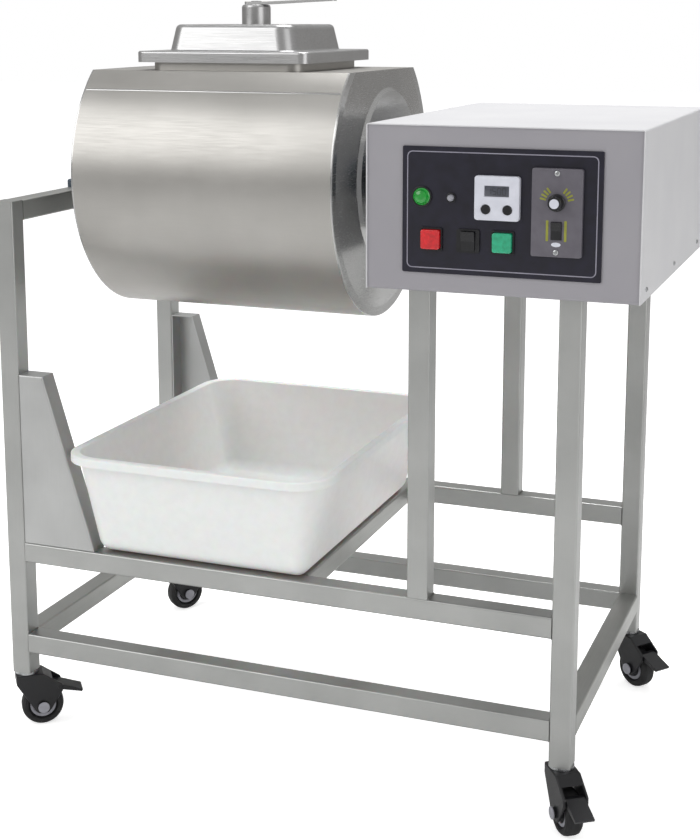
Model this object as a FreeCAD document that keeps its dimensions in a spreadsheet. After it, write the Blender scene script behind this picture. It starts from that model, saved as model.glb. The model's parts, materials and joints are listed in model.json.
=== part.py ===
import FreeCAD, Part
import math
import os
import Sketcher

Vector = FreeCAD.Vector
Rotation = FreeCAD.Rotation

# Meat vacuum tumbler: a steel drum with a hatch, turned by a gear motor in a control box, on a
# castered stand of square tube with a tub under the drum. Origin on the floor under the middle
# of the whole machine, +X from the drum to the control box, +Y to the back, +Z up. Millimetres.

doc = FreeCAD.newDocument("MeatTumbler")

DRIVING_SIZES = {
    # stand
    "frame_width": 860,
    "frame_depth": 512,
    "tube_side": 30,
    "tube_wall": 1.5,
    "tube_corner": 3,
    "post_foot_thick": 5,
    "post_cap_thick": 2,
    "bearing_rail_top": 807,
    "upper_rail_top": 296,
    "lower_rail_top": 152,
    "middle_post_left": 630,
    "tub_rail_left": 150,
    "tub_rail_right": 446,
    "gusset_height": 257,
    "gusset_top_width": 40,
    "gusset_foot_width": 118,
    "gusset_wall": 1.5,
    "gusset_bend": 2.5,
    "origin_shift_right": 2,
    "origin_shift_front": 4,
    # casters
    "caster_height": 88,
    "wheel_radius": 31.5,
    "wheel_width": 24,
    "caster_trail": 22,
    "fork_width": 36,
    "fork_gap": 29,
    "crown_radius": 17,
    "crown_thick": 10,
    "stem_radius": 6,
    "stem_length": 36,
    "stem_collar_thick": 3.5,
    "kingpin_radius": 5,
    "axle_radius": 4,
    "pedal_length": 34,
    "pedal_thick": 3.5,
    "pedal_pin_radius": 2,
    # drum
    "drum_left": 102,
    "drum_length": 399,
    "drum_radius": 207,
    "drum_flat_height": 155,
    "drum_wall": 2,
    "head_wall": 3,
    "head_rise": 7,
    "head_step": 5,
    "head_disc_radius": 125,
    "baffle_depth": 40,
    "baffle_thick": 2.5,
    "baffle_end_gap": 8,
    # hatch and lid
    "neck_length": 240,
    "neck_depth": 230,
    "neck_height": 21,
    "neck_wall": 2,
    "neck_corner": 20,
    "ledge_width": 60,
    "ledge_reach": 14,
    "ledge_thick": 4,
    "gasket_height": 5,
    "gasket_width": 8,
    "lid_length": 271,
    "lid_depth": 260,
    "lid_skirt": 16,
    "lid_sheet": 1.5,
    "lid_corner": 14,
    "pan_side": 202,
    "pan_top_side": 188,
    "pan_rise": 38,
    "pan_corner": 24,
    "pan_bend": 8,
    "lid_bend": 3,
    "hub_radius": 21.5,
    "hub_height": 29,
    "spindle_radius": 7,
    "bar_width": 20,
    "bar_thick": 8,
    "bar_end_gap": 6,
    "lever_reach": 128,
    "lever_tail": 16,
    "lever_width": 22,
    "lever_tip_width": 16,
    "lever_thick": 4,
    "lever_rise": 5,
    # shafts and bearings
    "bearing_centre_height": 30,
    "left_shaft_radius": 12.5,
    "right_shaft_radius": 17.5,
    "shaft_flange_radius": 50,
    "shaft_flange_thick": 8,
    "shaft_hub_radius": 26,
    "shaft_hub_length": 10,
    "coupling_radius": 45,
    "coupling_thick": 6,
    "coupling_gap": 15,
    "pillow_width": 28,
    "pillow_length": 112,
    "pillow_foot": 12,
    "pillow_ring_radius": 25,
    "pillow_bolt_spacing": 86,
    "flange_bearing_thick": 12,
    "flange_bearing_boss": 10,
    "flange_bearing_radius": 32,
    "flange_bolt_spacing": 84,
    "bolt_radius": 5,
    "bolt_head_radius": 9,
    "bolt_head_height": 6.5,
    "flange_bolt_circle": 38,
    "running_gap": 0.05,
    # control box
    "box_width": 357,
    "box_depth": 515,
    "box_height": 214,
    "box_bottom": 720,
    "box_overhang": 74,
    "box_front_overhang": 16,
    "box_sheet": 1.5,
    "box_flange": 14,
    "box_bend": 3,
    "box_cover_inset": 2,
    "shaft_hole_radius": 24,
    "gearbox_length": 110,
    "gearbox_depth": 120,
    "gearbox_height": 130,
    "gearbox_left_gap": 25,
    "gearbox_foot": 10,
    "gearbox_foot_length": 150,
    "motor_radius": 60,
    "motor_length": 165,
    # panel, measured from the box's lower left front corner
    "panel_left": 50,
    "panel_bottom": 25,
    "panel_width": 258,
    "panel_height": 162,
    "panel_thick": 2,
    "panel_corner": 2,
    "bezel_side": 30,
    "bezel_thick": 2.5,
    "button_side": 25,
    "button_proud": 5.5,
    "button_travel": 4,
    "lower_row": 69,
    "stop_across": 89,
    "rocker_across": 138,
    "start_across": 183,
    "rocker_width": 18,
    "rocker_height": 25,
    "lamp_across": 76,
    "lamp_up": 123,
    "lamp_radius": 11,
    "lamp_proud": 7,
    "small_lamp_across": 115,
    "small_lamp_radius": 4,
    "timer_across": 176,
    "timer_up": 125,
    "timer_width": 58,
    "timer_height": 56,
    "timer_thick": 8,
    "timer_corner": 4,
    "timer_window_width": 32,
    "timer_window_height": 14,
    "timer_window_up": 9,
    "timer_key_radius": 6,
    "timer_key_spacing": 28,
    "timer_key_down": 14,
    "timer_key_proud": 1.5,
    "timer_key_travel": 1,
    "controller_across": 252,
    "controller_up": 110,
    "controller_width": 64,
    "controller_height": 110,
    "controller_thick": 6,
    "knob_radius": 11,
    "knob_proud": 14,
    "knob_up": 13,
    "run_rocker_width": 13,
    "run_rocker_height": 22,
    "run_rocker_down": 22,
    "switch_gap": 0.4,
    "gland_across": 300,
    "gland_up": 32,
    "gland_bore": 5,
    "gland_thread_radius": 9.8,
    "gland_body_radius": 13,
    "gland_length": 24,
    # tub
    "tub_left": 110,
    "tub_width": 408,
    "tub_front_overhang": 33,
    "tub_depth": 528,
    "tub_height": 152,
    "tub_wall": 3,
    "tub_lip": 10,
    "tub_lip_height": 12,
    "tub_draft": 32,
    "tub_foot_corner": 14,
    "tub_foot_bend": 22,
}

CASTER_SWIVELS = {  # which way each caster trails, in degrees from +X
    "front_left": 38,
    "front_right": -55,
    "rear_right": -38,
    "rear_left": 52,
}


ROCKER_TILT = 8


class Size:
    """A length with its value and the spreadsheet formula that gives it."""

    def __init__(self, value, text):
        self.value = value
        self.text = text

    def __add__(self, other):
        other = as_size(other)
        return Size(self.value + other.value, f"({self.text} + {other.text})")

    def __radd__(self, other):
        return as_size(other) + self

    def __sub__(self, other):
        other = as_size(other)
        return Size(self.value - other.value, f"({self.text} - {other.text})")

    def __rsub__(self, other):
        return as_size(other) - self

    def __mul__(self, other):
        other = as_size(other)
        return Size(self.value * other.value, f"({self.text} * {other.text})")

    def __rmul__(self, other):
        return as_size(other) * self

    def __truediv__(self, other):
        other = as_size(other)
        return Size(self.value / other.value, f"({self.text} / {other.text})")

    def __neg__(self):
        return as_size(0) - self


def as_size(number):
    """A plain number as a Size."""
    return number if isinstance(number, Size) else Size(float(number), f"{float(number):.6f}")


def root(length):
    """The square root of a Size."""
    return Size(math.sqrt(length.value), f"sqrt({length.text})")


class SizeSheet:
    """Spreadsheet of the driving sizes; each alias is read as an attribute."""

    def __init__(self, values):
        self.sheet = doc.addObject("Spreadsheet::Sheet", "Sizes")
        for row, (alias, value) in enumerate(values.items(), start=1):
            self.sheet.set(f"A{row}", alias.replace("_", " "))
            self.sheet.set(f"B{row}", str(value))
            self.sheet.setAlias(f"B{row}", alias)
            setattr(self, alias, Size(float(value), f"Sizes.{alias}"))
        doc.recompute()


size = SizeSheet(DRIVING_SIZES)
nodes = []

# ---------------------------------------------------------------- modelling helpers

ALONG_X = Rotation(Vector(0, 1, 0), 90)
ALONG_MINUS_X = Rotation(Vector(0, 1, 0), -90)
ALONG_Y = Rotation(Vector(1, 0, 0), -90)
FACING_FRONT = Rotation(Vector(1, 0, 0), 90)


def bind(item, name, length):
    """Tie one property of an object to the sheet."""
    item.setExpression(name, as_size(length).text)


def place(item, x=0, y=0, z=0, turn=None):
    """Put an object at a place given by Sizes, turned by a rotation."""
    spot = [as_size(value) for value in (x, y, z)]
    item.Placement = FreeCAD.Placement(Vector(*[one.value for one in spot]), turn or Rotation())
    for axis, one in zip("xyz", spot):
        bind(item, f"Placement.Base.{axis}", one)
    return item


def node(item, label):
    """Register an object as one named sub-part."""
    item.Label = label
    nodes.append(item)
    return item


def new_body(name):
    return doc.addObject("PartDesign::Body", name)


def new_sketch(body, role, offset=0):
    """A sketch on one of the body's own origin planes, moved along the plane's normal."""
    sketch = body.newObject("Sketcher::SketchObject", "Sketch")
    plane = [item for item in body.Origin.OriginFeatures if item.Role == role][0]
    sketch.AttachmentSupport = [(plane, "")]
    sketch.MapMode = "FlatFace"
    offset = as_size(offset)
    sketch.AttachmentOffset = FreeCAD.Placement(Vector(0, 0, offset.value), Rotation())
    bind(sketch, "AttachmentOffset.Base.z", offset)
    return sketch


def dimension(sketch, kind, *where, length):
    """Add one dimension to a sketch and tie it to the sheet."""
    index = sketch.addConstraint(Sketcher.Constraint(kind, *where, length.value))
    sketch.renameConstraint(index, f"dimension{index}")
    bind(sketch, f"Constraints.dimension{index}", length)


def fix_point(sketch, item, point, x, y):
    """Hold a sketch point at Sizes x, y from the sketch's origin."""
    dimension(sketch, "DistanceX", -1, 1, item, point, length=as_size(x))
    dimension(sketch, "DistanceY", -1, 1, item, point, length=as_size(y))


def outline(sketch, points):
    """A closed polygon, each corner held by the sheet."""
    spots = [(as_size(x), as_size(y)) for x, y in points]
    first = sketch.GeometryCount
    count = len(spots)
    for index, (x, y) in enumerate(spots):
        next_x, next_y = spots[(index + 1) % count]
        start = Vector(x.value, y.value, 0)
        sketch.addGeometry(Part.LineSegment(start, Vector(next_x.value, next_y.value, 0)))
    for index in range(count):
        following = first + (index + 1) % count
        sketch.addConstraint(Sketcher.Constraint("Coincident", first + index, 2, following, 1))
    for index, (x, y) in enumerate(spots):
        fix_point(sketch, first + index, 1, x, y)
    return sketch


def rectangle(sketch, width, height, x=0, y=0):
    """A rectangle centred on x, y."""
    width, height, x, y = (as_size(value) for value in (width, height, x, y))
    left, right = x - width / 2, x + width / 2
    low, high = y - height / 2, y + height / 2
    return outline(sketch, [(left, low), (right, low), (right, high), (left, high)])


def circle(sketch, radius, x=0, y=0):
    """A circle centred on x, y."""
    radius, x, y = (as_size(value) for value in (radius, x, y))
    centre = Vector(x.value, y.value, 0)
    item = sketch.addGeometry(Part.Circle(centre, Vector(0, 0, 1), radius.value))
    dimension(sketch, "Radius", item, length=radius)
    fix_point(sketch, item, 3, x, y)
    return sketch


def rounded_rectangle(sketch, width, height, corner, x=0, y=0):
    """A rectangle with round corners centred on x, y."""
    width, height, corner, x, y = (as_size(value) for value in (width, height, corner, x, y))
    first = sketch.GeometryCount
    right, high = width / 2 - corner, height / 2 - corner
    centres = [(x + right, y + high), (x - right, y + high), (x - right, y - high),
               (x + right, y - high)]
    ends = []
    for quarter, (across, up) in enumerate(centres):
        start = quarter * math.pi / 2
        ring = Part.Circle(Vector(across.value, up.value, 0), Vector(0, 0, 1), corner.value)
        arc = Part.ArcOfCircle(ring, start, start + math.pi / 2)
        ends.append((arc.StartPoint, arc.EndPoint))
        sketch.addGeometry(arc)
    for quarter in range(4):
        sketch.addGeometry(Part.LineSegment(ends[quarter][1], ends[(quarter + 1) % 4][0]))
    for quarter, (across, up) in enumerate(centres):
        arc, line = first + quarter, first + 4 + quarter
        following = first + (quarter + 1) % 4
        sketch.addConstraint(Sketcher.Constraint("Tangent", arc, 2, line, 1))
        sketch.addConstraint(Sketcher.Constraint("Tangent", line, 2, following, 1))
        dimension(sketch, "Radius", arc, length=corner)
        fix_point(sketch, arc, 3, across, up)
    return sketch


def capped_circle(sketch, radius, height):
    """A circle about the origin with its top cut off flat at a height."""
    half_chord = root(radius * radius - height * height)
    start = math.atan2(height.value, -half_chord.value)
    end = math.atan2(height.value, half_chord.value) + 2 * math.pi
    ring = Part.Circle(Vector(), Vector(0, 0, 1), radius.value)
    arc = sketch.addGeometry(Part.ArcOfCircle(ring, start, end))
    left = Vector(-half_chord.value, height.value, 0)
    chord = sketch.addGeometry(Part.LineSegment(Vector(half_chord.value, height.value, 0), left))
    sketch.addConstraint(Sketcher.Constraint("Coincident", arc, 2, chord, 1))
    sketch.addConstraint(Sketcher.Constraint("Coincident", chord, 2, arc, 1))
    sketch.addConstraint(Sketcher.Constraint("Coincident", arc, 3, -1, 1))
    sketch.addConstraint(Sketcher.Constraint("Horizontal", chord))
    dimension(sketch, "Radius", arc, length=radius)
    dimension(sketch, "DistanceY", -1, 1, chord, 1, length=height)
    return sketch


def extrude(body, kind, sketch, length, symmetric=False, reverse=False):
    """A Pad or Pocket of a sketch."""
    feature = body.newObject(f"PartDesign::{kind}", kind)
    feature.Profile = sketch
    bind(feature, "Length", length)
    feature.Midplane = symmetric
    feature.Reversed = reverse
    doc.recompute()
    return feature


def pad(body, sketch, length, **options):
    return extrude(body, "Pad", sketch, length, **options)


def pocket(body, sketch, length, **options):
    before = body.Shape.Volume
    feature = extrude(body, "Pocket", sketch, length, **options)
    if not body.Shape.Volume < before:
        raise RuntimeError(f"{body.Name}: a pocket cuts nothing")
    return feature


def turned(label, profile, axis="V_Axis"):
    """A body of revolution from a profile in the XZ plane."""
    body = new_body(label)
    sketch = outline(new_sketch(body, "XZ_Plane"), profile)
    feature = body.newObject("PartDesign::Revolution", "Revolution")
    feature.Profile = sketch
    feature.ReferenceAxis = (sketch, [axis])
    feature.Angle = 360
    doc.recompute()
    return body


def round_edges(body, radius, test, kind="Fillet"):
    """Fillet or chamfer the edges of a body's tip that pass a test."""
    tip = body.Tip
    names = [f"Edge{index}" for index, edge in enumerate(tip.Shape.Edges, start=1) if test(edge)]
    feature = body.newObject(f"PartDesign::{kind}", kind)
    feature.Base = (tip, names)
    bind(feature, "Radius" if kind == "Fillet" else "Size", radius)
    doc.recompute()
    return feature


def loft(body, low, high):
    """An additive loft between two sketches of a body."""
    feature = body.newObject("PartDesign::AdditiveLoft", "Loft")
    feature.Profile = low
    feature.Sections = [high]
    doc.recompute()
    return feature


def cut_away(body, tool):
    """Cut one body out of another."""
    cut = body.newObject("PartDesign::Boolean", "Cut")
    cut.Type = "Cut"
    cut.setObjects([tool])
    doc.recompute()
    return cut


def runs_along(edge, direction):
    """Whether a straight edge runs along a direction."""
    if edge.Curve.TypeId != "Part::GeomLine":
        return False
    return abs(abs(edge.Curve.Direction.dot(direction)) - 1) < 1e-6


def at_height(edge, height, slack=0.01):
    """Whether a whole edge lies at one height."""
    box = edge.BoundBox
    return abs(box.ZMin - height) < slack and abs(box.ZMax - height) < slack


def group(parts, label):
    """Alike pieces that share one node, each a solid of its own."""
    compound = doc.addObject("Part::Compound", label)
    compound.Links = parts
    return node(compound, label)


def cylinder(name, radius, length):
    """A plain cylinder along +Z."""
    item = doc.addObject("Part::Cylinder", name)
    bind(item, "Radius", radius)
    bind(item, "Height", length)
    return item


# ---------------------------------------------------------------- shared places

left_side = -(size.frame_width + size.box_overhang) / 2 + size.origin_shift_right
front_side = -size.frame_depth / 2 - size.origin_shift_front
half_tube = size.tube_side / 2
rail_inner = size.tube_side - 2 * size.tube_wall

front_row = front_side + half_tube
rear_row = front_side + size.frame_depth - half_tube
left_column = left_side + half_tube
middle_column = left_side + size.middle_post_left + half_tube
right_column = left_side + size.frame_width - half_tube

axis_height = size.bearing_rail_top + size.bearing_centre_height
drum_start = left_side + size.drum_left
drum_end = drum_start + size.drum_length
drum_middle = drum_start + size.drum_length / 2
head_bulge = size.head_wall + size.head_rise + size.head_step
axis_depth = front_side + size.frame_depth / 2
flat_top = axis_height + size.drum_flat_height
mouth_length = size.neck_length - 2 * size.neck_wall
mouth_depth = size.neck_depth - 2 * size.neck_wall

box_left = left_side + size.frame_width + size.box_overhang - size.box_width
box_front = front_side - size.box_front_overhang
box_back = box_front + size.box_depth
box_top = size.box_bottom + size.box_height
button_hole = size.button_side + 2 * size.switch_gap


# ---------------------------------------------------------------- stand

def square_tube(name, length, cap=False, foot=False):
    """A square tube along +Z from its local origin."""
    body = new_body(name)
    section = rounded_rectangle(new_sketch(body, "XY_Plane"), size.tube_side, size.tube_side,
                                size.tube_corner)
    pad(body, section, length)
    bore = rectangle(new_sketch(body, "XY_Plane"), rail_inner, rail_inner)
    pocket(body, bore, length - size.post_cap_thick if cap else length, reverse=True)
    if foot:
        plate = rectangle(new_sketch(body, "XY_Plane"), rail_inner, rail_inner)
        circle(plate, size.stem_radius + size.running_gap)
        pad(body, plate, size.post_foot_thick)
    return body


def make_stand():
    post_height = {
        "left": size.bearing_rail_top - size.caster_height,
        "right": size.box_bottom - size.caster_height,
    }
    rows = {"front": front_row, "rear": rear_row}
    for row, depth in rows.items():
        for side, column in (("left", left_column), ("right", right_column)):
            post = square_tube(f"{row}_{side}_post", post_height[side], cap=side == "left", foot=True)
            node(place(post, column, depth, size.caster_height), f"{row}_{side}_post")
        middle = square_tube(f"{row}_middle_post", size.box_bottom - size.upper_rail_top)
        node(place(middle, middle_column, depth, size.upper_rail_top), f"{row}_middle_post")

    rail_length = size.frame_width - 2 * size.tube_side
    for level, top in (("upper", size.upper_rail_top), ("lower", size.lower_rail_top)):
        rails = []
        for row, depth in rows.items():
            rail = square_tube(f"{row}_{level}_rail", rail_length)
            start = left_side + size.tube_side
            rails.append(place(rail, start, depth, top - half_tube, ALONG_X))
        group(rails, f"{level}_rails")

    cross_length = size.frame_depth - 2 * size.tube_side
    cross_start = front_side + size.tube_side
    cross_places = [
        (left_column, size.lower_rail_top),
        (right_column, size.lower_rail_top),
        (left_side + size.tub_rail_left + half_tube, size.upper_rail_top),
        (left_side + size.tub_rail_right + half_tube, size.upper_rail_top),
    ]
    crosses = []
    for column, top in cross_places:
        rail = square_tube("crossrail", cross_length)
        crosses.append(place(rail, column, cross_start, top - half_tube, ALONG_Y))
    group(crosses, "crossrails")

    bearing_rail = square_tube("bearing_crossrail", cross_length)
    for side in (-1, 1):
        along = cross_length / 2 + side * size.pillow_bolt_spacing / 2
        hole = circle(new_sketch(bearing_rail, "XZ_Plane"), size.bolt_radius + size.running_gap,
                      0, along)
        pocket(bearing_rail, hole, size.tube_side * 2, symmetric=True)
    height = size.bearing_rail_top - half_tube
    node(place(bearing_rail, left_column, cross_start, height, ALONG_Y), "bearing_crossrail")

    make_gusset("front_gusset", front_side, True)
    make_gusset("rear_gusset", front_side + size.frame_depth, False)


def make_gusset(label, outer_face, at_front):
    """Folded sheet gusset between a left post and its upper rail, open towards the tub."""
    body = new_body(label)
    corners = [
        (0, 0),
        (size.gusset_foot_width, 0),
        (size.gusset_top_width, size.gusset_height),
        (0, size.gusset_height),
    ]
    sketch = outline(new_sketch(body, "XZ_Plane"), corners)
    pad(body, sketch, size.tube_side, reverse=at_front)
    round_edges(body, size.gusset_bend, lambda edge: edge.BoundBox.YLength < 0.01
                and abs(edge.BoundBox.YMin) < 0.01)
    wall = size.gusset_wall
    narrowing = (size.gusset_foot_width - size.gusset_top_width) / size.gusset_height
    slant = size.gusset_foot_width - wall * root(1 + narrowing * narrowing)
    room = outline(new_sketch(body, "XZ_Plane", -wall if at_front else wall), [
        (wall, wall),
        (slant - narrowing * wall, wall),
        (slant - narrowing * (size.gusset_height - wall), size.gusset_height - wall),
        (wall, size.gusset_height - wall),
    ])
    pocket(body, room, size.tube_side, reverse=not at_front)
    node(place(body, left_side + size.tube_side, outer_face, size.upper_rail_top), label)


# ---------------------------------------------------------------- casters

crown_top = size.caster_height - size.stem_collar_thick - 8 * size.running_gap
crown_bottom = crown_top - size.crown_thick
pedal_pivot = (size.caster_trail + 25, size.wheel_radius + 27)


def make_stem():
    """Threaded stem with its collar and the kingpin that the fork swivels on."""
    collar_low = size.caster_height - size.stem_collar_thick
    head_high = crown_bottom - 8 * size.running_gap
    head_low = head_high - size.stem_collar_thick
    return turned("caster_stem", [
        (0, head_low),
        (size.kingpin_radius + size.axle_radius, head_low),
        (size.kingpin_radius + size.axle_radius, head_high),
        (size.kingpin_radius, head_high),
        (size.kingpin_radius, collar_low),
        (size.crown_radius, collar_low),
        (size.crown_radius, size.caster_height),
        (size.stem_radius, size.caster_height),
        (size.stem_radius, size.caster_height + size.stem_length),
        (0, size.caster_height + size.stem_length),
    ])


def make_fork(name):
    """Hooded swivel fork: crown, two cheeks down to the axle, and the axle bolt."""
    trail = size.caster_trail
    axle = size.wheel_radius
    pivot_x, pivot_z = pedal_pivot
    ear = size.pedal_pin_radius + 3
    body = new_body(name)
    side = outline(new_sketch(body, "XZ_Plane"), [
        (-size.crown_radius, crown_top),
        (-size.crown_radius, crown_bottom - 4),
        (trail - 12, axle - 6),
        (trail - 7, axle - 11),
        (trail + 7, axle - 11),
        (trail + 12, axle - 6),
        (pivot_x + ear, pivot_z - ear),
        (pivot_x + ear, pivot_z + ear),
        (size.crown_radius + 6, crown_top),
    ])
    pad(body, side, size.fork_width, symmetric=True)
    round_edges(body, size.axle_radius, lambda edge: runs_along(edge, Vector(0, 1, 0))
                and edge.BoundBox.ZMax < crown_top.value - 1)
    slot = outline(new_sketch(body, "XZ_Plane"), [
        (trail - size.wheel_radius - 4, crown_bottom),
        (trail - size.wheel_radius - 4, 0),
        (pivot_x + 2 * ear, 0),
        (pivot_x + 2 * ear, pivot_z + 2 * ear),
        (pivot_x - ear, crown_bottom),
    ])
    pocket(body, slot, size.fork_gap, symmetric=True)
    hole = circle(new_sketch(body, "XY_Plane"), size.kingpin_radius + size.running_gap)
    pocket(body, hole, crown_top, reverse=True)
    pins = circle(new_sketch(body, "XZ_Plane"), size.axle_radius, trail, axle)
    circle(pins, size.pedal_pin_radius + size.running_gap, pivot_x, pivot_z)
    pocket(body, pins, 2 * size.fork_width, symmetric=True)
    round_edges(body, 2, lambda edge: edge.BoundBox.YLength < 0.01
                and abs(abs(edge.BoundBox.YMin) - size.fork_width.value / 2) < 0.01
                and edge.BoundBox.DiagonalLength > 14)
    return body


def make_axle():
    """Axle bolt across the fork with a round head and a nut of the same size."""
    half = size.fork_width / 2
    head = size.axle_radius + 3
    return turned("caster_axle", [
        (0, -half - 3), (head, -half - 3), (head, -half), (size.axle_radius, -half),
        (size.axle_radius, half), (head, half), (head, half + 3), (0, half + 3),
    ])


def make_wheel(name):
    """Wheel with a rounded tread, a dished web and a hub."""
    half = size.wheel_width / 2
    outer = size.wheel_radius
    bore = size.axle_radius + size.running_gap
    hub_half = size.fork_gap / 2 - 0.5
    upper = [
        (bore, hub_half), (8, hub_half), (9, half - 4), (outer - 11, half - 4),
        (outer - 9, half), (outer - 4, half), (outer - 1, half - 3), (outer, half - 7),
    ]
    lower = [(radius, -up) for radius, up in reversed(upper)]
    return turned(name, upper + lower)


def make_pedal(name):
    """Brake pedal: hinge barrel with its pin, shoe over the tread and a foot plate."""
    pivot_x, pivot_z = pedal_pivot
    barrel = size.pedal_pin_radius + 2.5
    width = size.fork_gap - 2
    body = new_body(name)
    side = outline(new_sketch(body, "XZ_Plane"), [
        (pivot_x - 7, pivot_z + 4),
        (pivot_x - barrel, pivot_z),
        (pivot_x - 2, pivot_z - 3),
        (pivot_x + 2, pivot_z - barrel),
        (pivot_x + size.pedal_length, pivot_z - 12),
        (pivot_x + size.pedal_length + 2, pivot_z - 12 + size.pedal_thick),
        (pivot_x + barrel + 3, pivot_z + 2),
        (pivot_x + 1, pivot_z + barrel),
    ])
    pad(body, side, width, symmetric=True)
    pin = circle(new_sketch(body, "XZ_Plane"), size.pedal_pin_radius, pivot_x, pivot_z)
    pad(body, pin, size.fork_width, symmetric=True)
    round_edges(body, 1, lambda edge: runs_along(edge, Vector(0, 1, 0))
                and edge.BoundBox.XMin > (pivot_x + 10).value)
    return body


def make_casters():
    spots = {
        "front_left": (left_column, front_row),
        "front_right": (right_column, front_row),
        "rear_right": (right_column, rear_row),
        "rear_left": (left_column, rear_row),
    }
    stems = []
    for corner, (column, depth) in spots.items():
        stems.append(place(make_stem(), column, depth))
        swivel = math.radians(CASTER_SWIVELS[corner])
        turn = Rotation(Vector(0, 0, 1), CASTER_SWIVELS[corner])
        wheel_x = column + size.caster_trail * math.cos(swivel)
        wheel_y = depth + size.caster_trail * math.sin(swivel)
        fork = place(make_fork(f"fork_{corner}"), column, depth, 0, turn)
        axle = place(make_axle(), wheel_x, wheel_y, size.wheel_radius, turn * ALONG_Y)
        group([fork, axle], f"caster_fork_{corner}")
        wheel = make_wheel(f"wheel_{corner}")
        place(wheel, wheel_x, wheel_y, size.wheel_radius, turn * ALONG_Y)
        node(wheel, f"caster_wheel_{corner}")
        node(place(make_pedal(f"pedal_{corner}"), column, depth, 0, turn), f"brake_pedal_{corner}")
    group(stems, "caster_stems")


# ---------------------------------------------------------------- drum

def make_drum():
    wall = size.drum_wall
    shell = new_body("drum_shell")
    section = capped_circle(new_sketch(shell, "YZ_Plane"), size.drum_radius, size.drum_flat_height)
    capped_circle(section, size.drum_radius - wall, size.drum_flat_height - wall)
    pad(shell, section, size.drum_length)
    mouth = rounded_rectangle(new_sketch(shell, "XY_Plane"), mouth_length, mouth_depth,
                              size.neck_corner, size.drum_length / 2, 0)
    pocket(shell, mouth, size.drum_radius, reverse=True)
    node(place(shell, drum_start, axis_depth, axis_height), "drum_shell")

    for label, start, turn in (
            ("drum_head_left", drum_start, Rotation(Vector(0, 0, 1), 180)),
            ("drum_head_right", drum_end, Rotation())):
        node(place(make_head(label), start, axis_depth, axis_height, turn), label)

    fins = []
    for index in range(3):
        fin = new_body(f"baffle_{index}")
        outer = size.drum_radius - wall - 0.2
        foot = size.baffle_depth / 2
        profile = [
            (-size.baffle_thick / 2, -outer + 0.2),
            (size.baffle_thick / 2, -outer + 0.2),
            (size.baffle_thick / 2, -outer + size.baffle_depth - size.baffle_thick),
            (foot, -outer + size.baffle_depth - size.baffle_thick),
            (foot, -outer + size.baffle_depth),
            (-size.baffle_thick / 2, -outer + size.baffle_depth),
        ]
        sketch = outline(new_sketch(fin, "YZ_Plane"), profile)
        pad(fin, sketch, size.drum_length - 2 * size.baffle_end_gap)
        turn = Rotation(Vector(1, 0, 0), 90 * (index - 1))
        fins.append(place(fin, drum_start + size.baffle_end_gap, axis_depth, axis_height, turn))
    group(fins, "drum_baffles")


def make_head(name):
    """Dished drum end: rim, shallow cone and a stepped middle disc, cut flat at the top."""
    wall = size.head_wall
    rim = size.drum_radius
    disc = size.head_disc_radius
    slope_end = size.head_rise
    profile = [
        (0, size.left_shaft_radius),
        (0, size.left_shaft_radius),
    ]
    outer = [
        (0, rim), (wall - 1, rim), (wall, rim - 1), (wall, rim - 14),
        (wall + slope_end, disc + 5), (wall + slope_end + size.head_step, disc),
        (wall + slope_end + size.head_step, size.left_shaft_radius),
    ]
    inner = [
        (slope_end + size.head_step, size.left_shaft_radius),
        (slope_end + size.head_step, disc - wall / 2),
        (slope_end, disc + 5 - wall / 2), (0, rim - 14),
    ]
    profile = outer + inner
    body = turned(name, profile, axis="H_Axis")
    trim = outline(new_sketch(body, "YZ_Plane", -1), [
        (-2 * rim, size.drum_flat_height), (2 * rim, size.drum_flat_height),
        (2 * rim, 2 * rim), (-2 * rim, 2 * rim),
    ])
    pocket(body, trim, 4 * head_bulge, reverse=True)
    return body


def make_shafts():
    flange = size.shaft_flange_thick
    hub_end = flange + size.shaft_hub_length
    left_length = size.drum_left - head_bulge
    left = turned("shaft_left", [
        (0, 0), (size.shaft_flange_radius, 0), (size.shaft_flange_radius, flange),
        (size.shaft_hub_radius, flange), (size.shaft_hub_radius, hub_end),
        (size.left_shaft_radius, hub_end), (size.left_shaft_radius, left_length - 1),
        (size.left_shaft_radius - 1, left_length), (0, left_length),
    ])
    place(left, drum_start - head_bulge, axis_depth, axis_height, ALONG_MINUS_X)
    node(left, "shaft_left")

    start = drum_end + head_bulge
    gearbox_end = box_left + size.box_sheet + size.gearbox_left_gap + size.gearbox_length
    right_length = gearbox_end + 6 - start
    collar = hub_end + size.coupling_gap
    right = turned("shaft_right", [
        (0, 0), (size.shaft_flange_radius, 0), (size.shaft_flange_radius, flange),
        (size.shaft_hub_radius, flange), (size.shaft_hub_radius, hub_end),
        (size.right_shaft_radius, hub_end), (size.right_shaft_radius, collar - 7),
        (size.coupling_radius, collar - 7), (size.coupling_radius, collar - 7 + size.coupling_thick),
        (size.right_shaft_radius, collar - 7 + size.coupling_thick),
        (size.right_shaft_radius, right_length - 1),
        (size.right_shaft_radius - 1, right_length), (0, right_length),
    ])
    node(place(right, start, axis_depth, axis_height, ALONG_X), "shaft_right")

    bolts = []
    for place_x, turn in ((drum_start - head_bulge - flange, ALONG_MINUS_X), (start + flange, ALONG_X)):
        for index in range(6):
            angle = math.radians(60 * index + 30)
            head = hexagon_head("shaft_bolt", size.bolt_radius * 1.7, size.bolt_radius)
            bolts.append(place(head, place_x,
                               axis_depth + size.flange_bolt_circle * math.cos(angle),
                               axis_height + size.flange_bolt_circle * math.sin(angle), turn))
    group(bolts, "shaft_bolts")


def hexagon_head(name, radius, height):
    """A hexagon head standing on its local origin."""
    prism = doc.addObject("Part::Prism", name)
    prism.Polygon = 6
    bind(prism, "Circumradius", radius)
    bind(prism, "Height", height)
    return prism


# ---------------------------------------------------------------- hatch and lid

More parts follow.
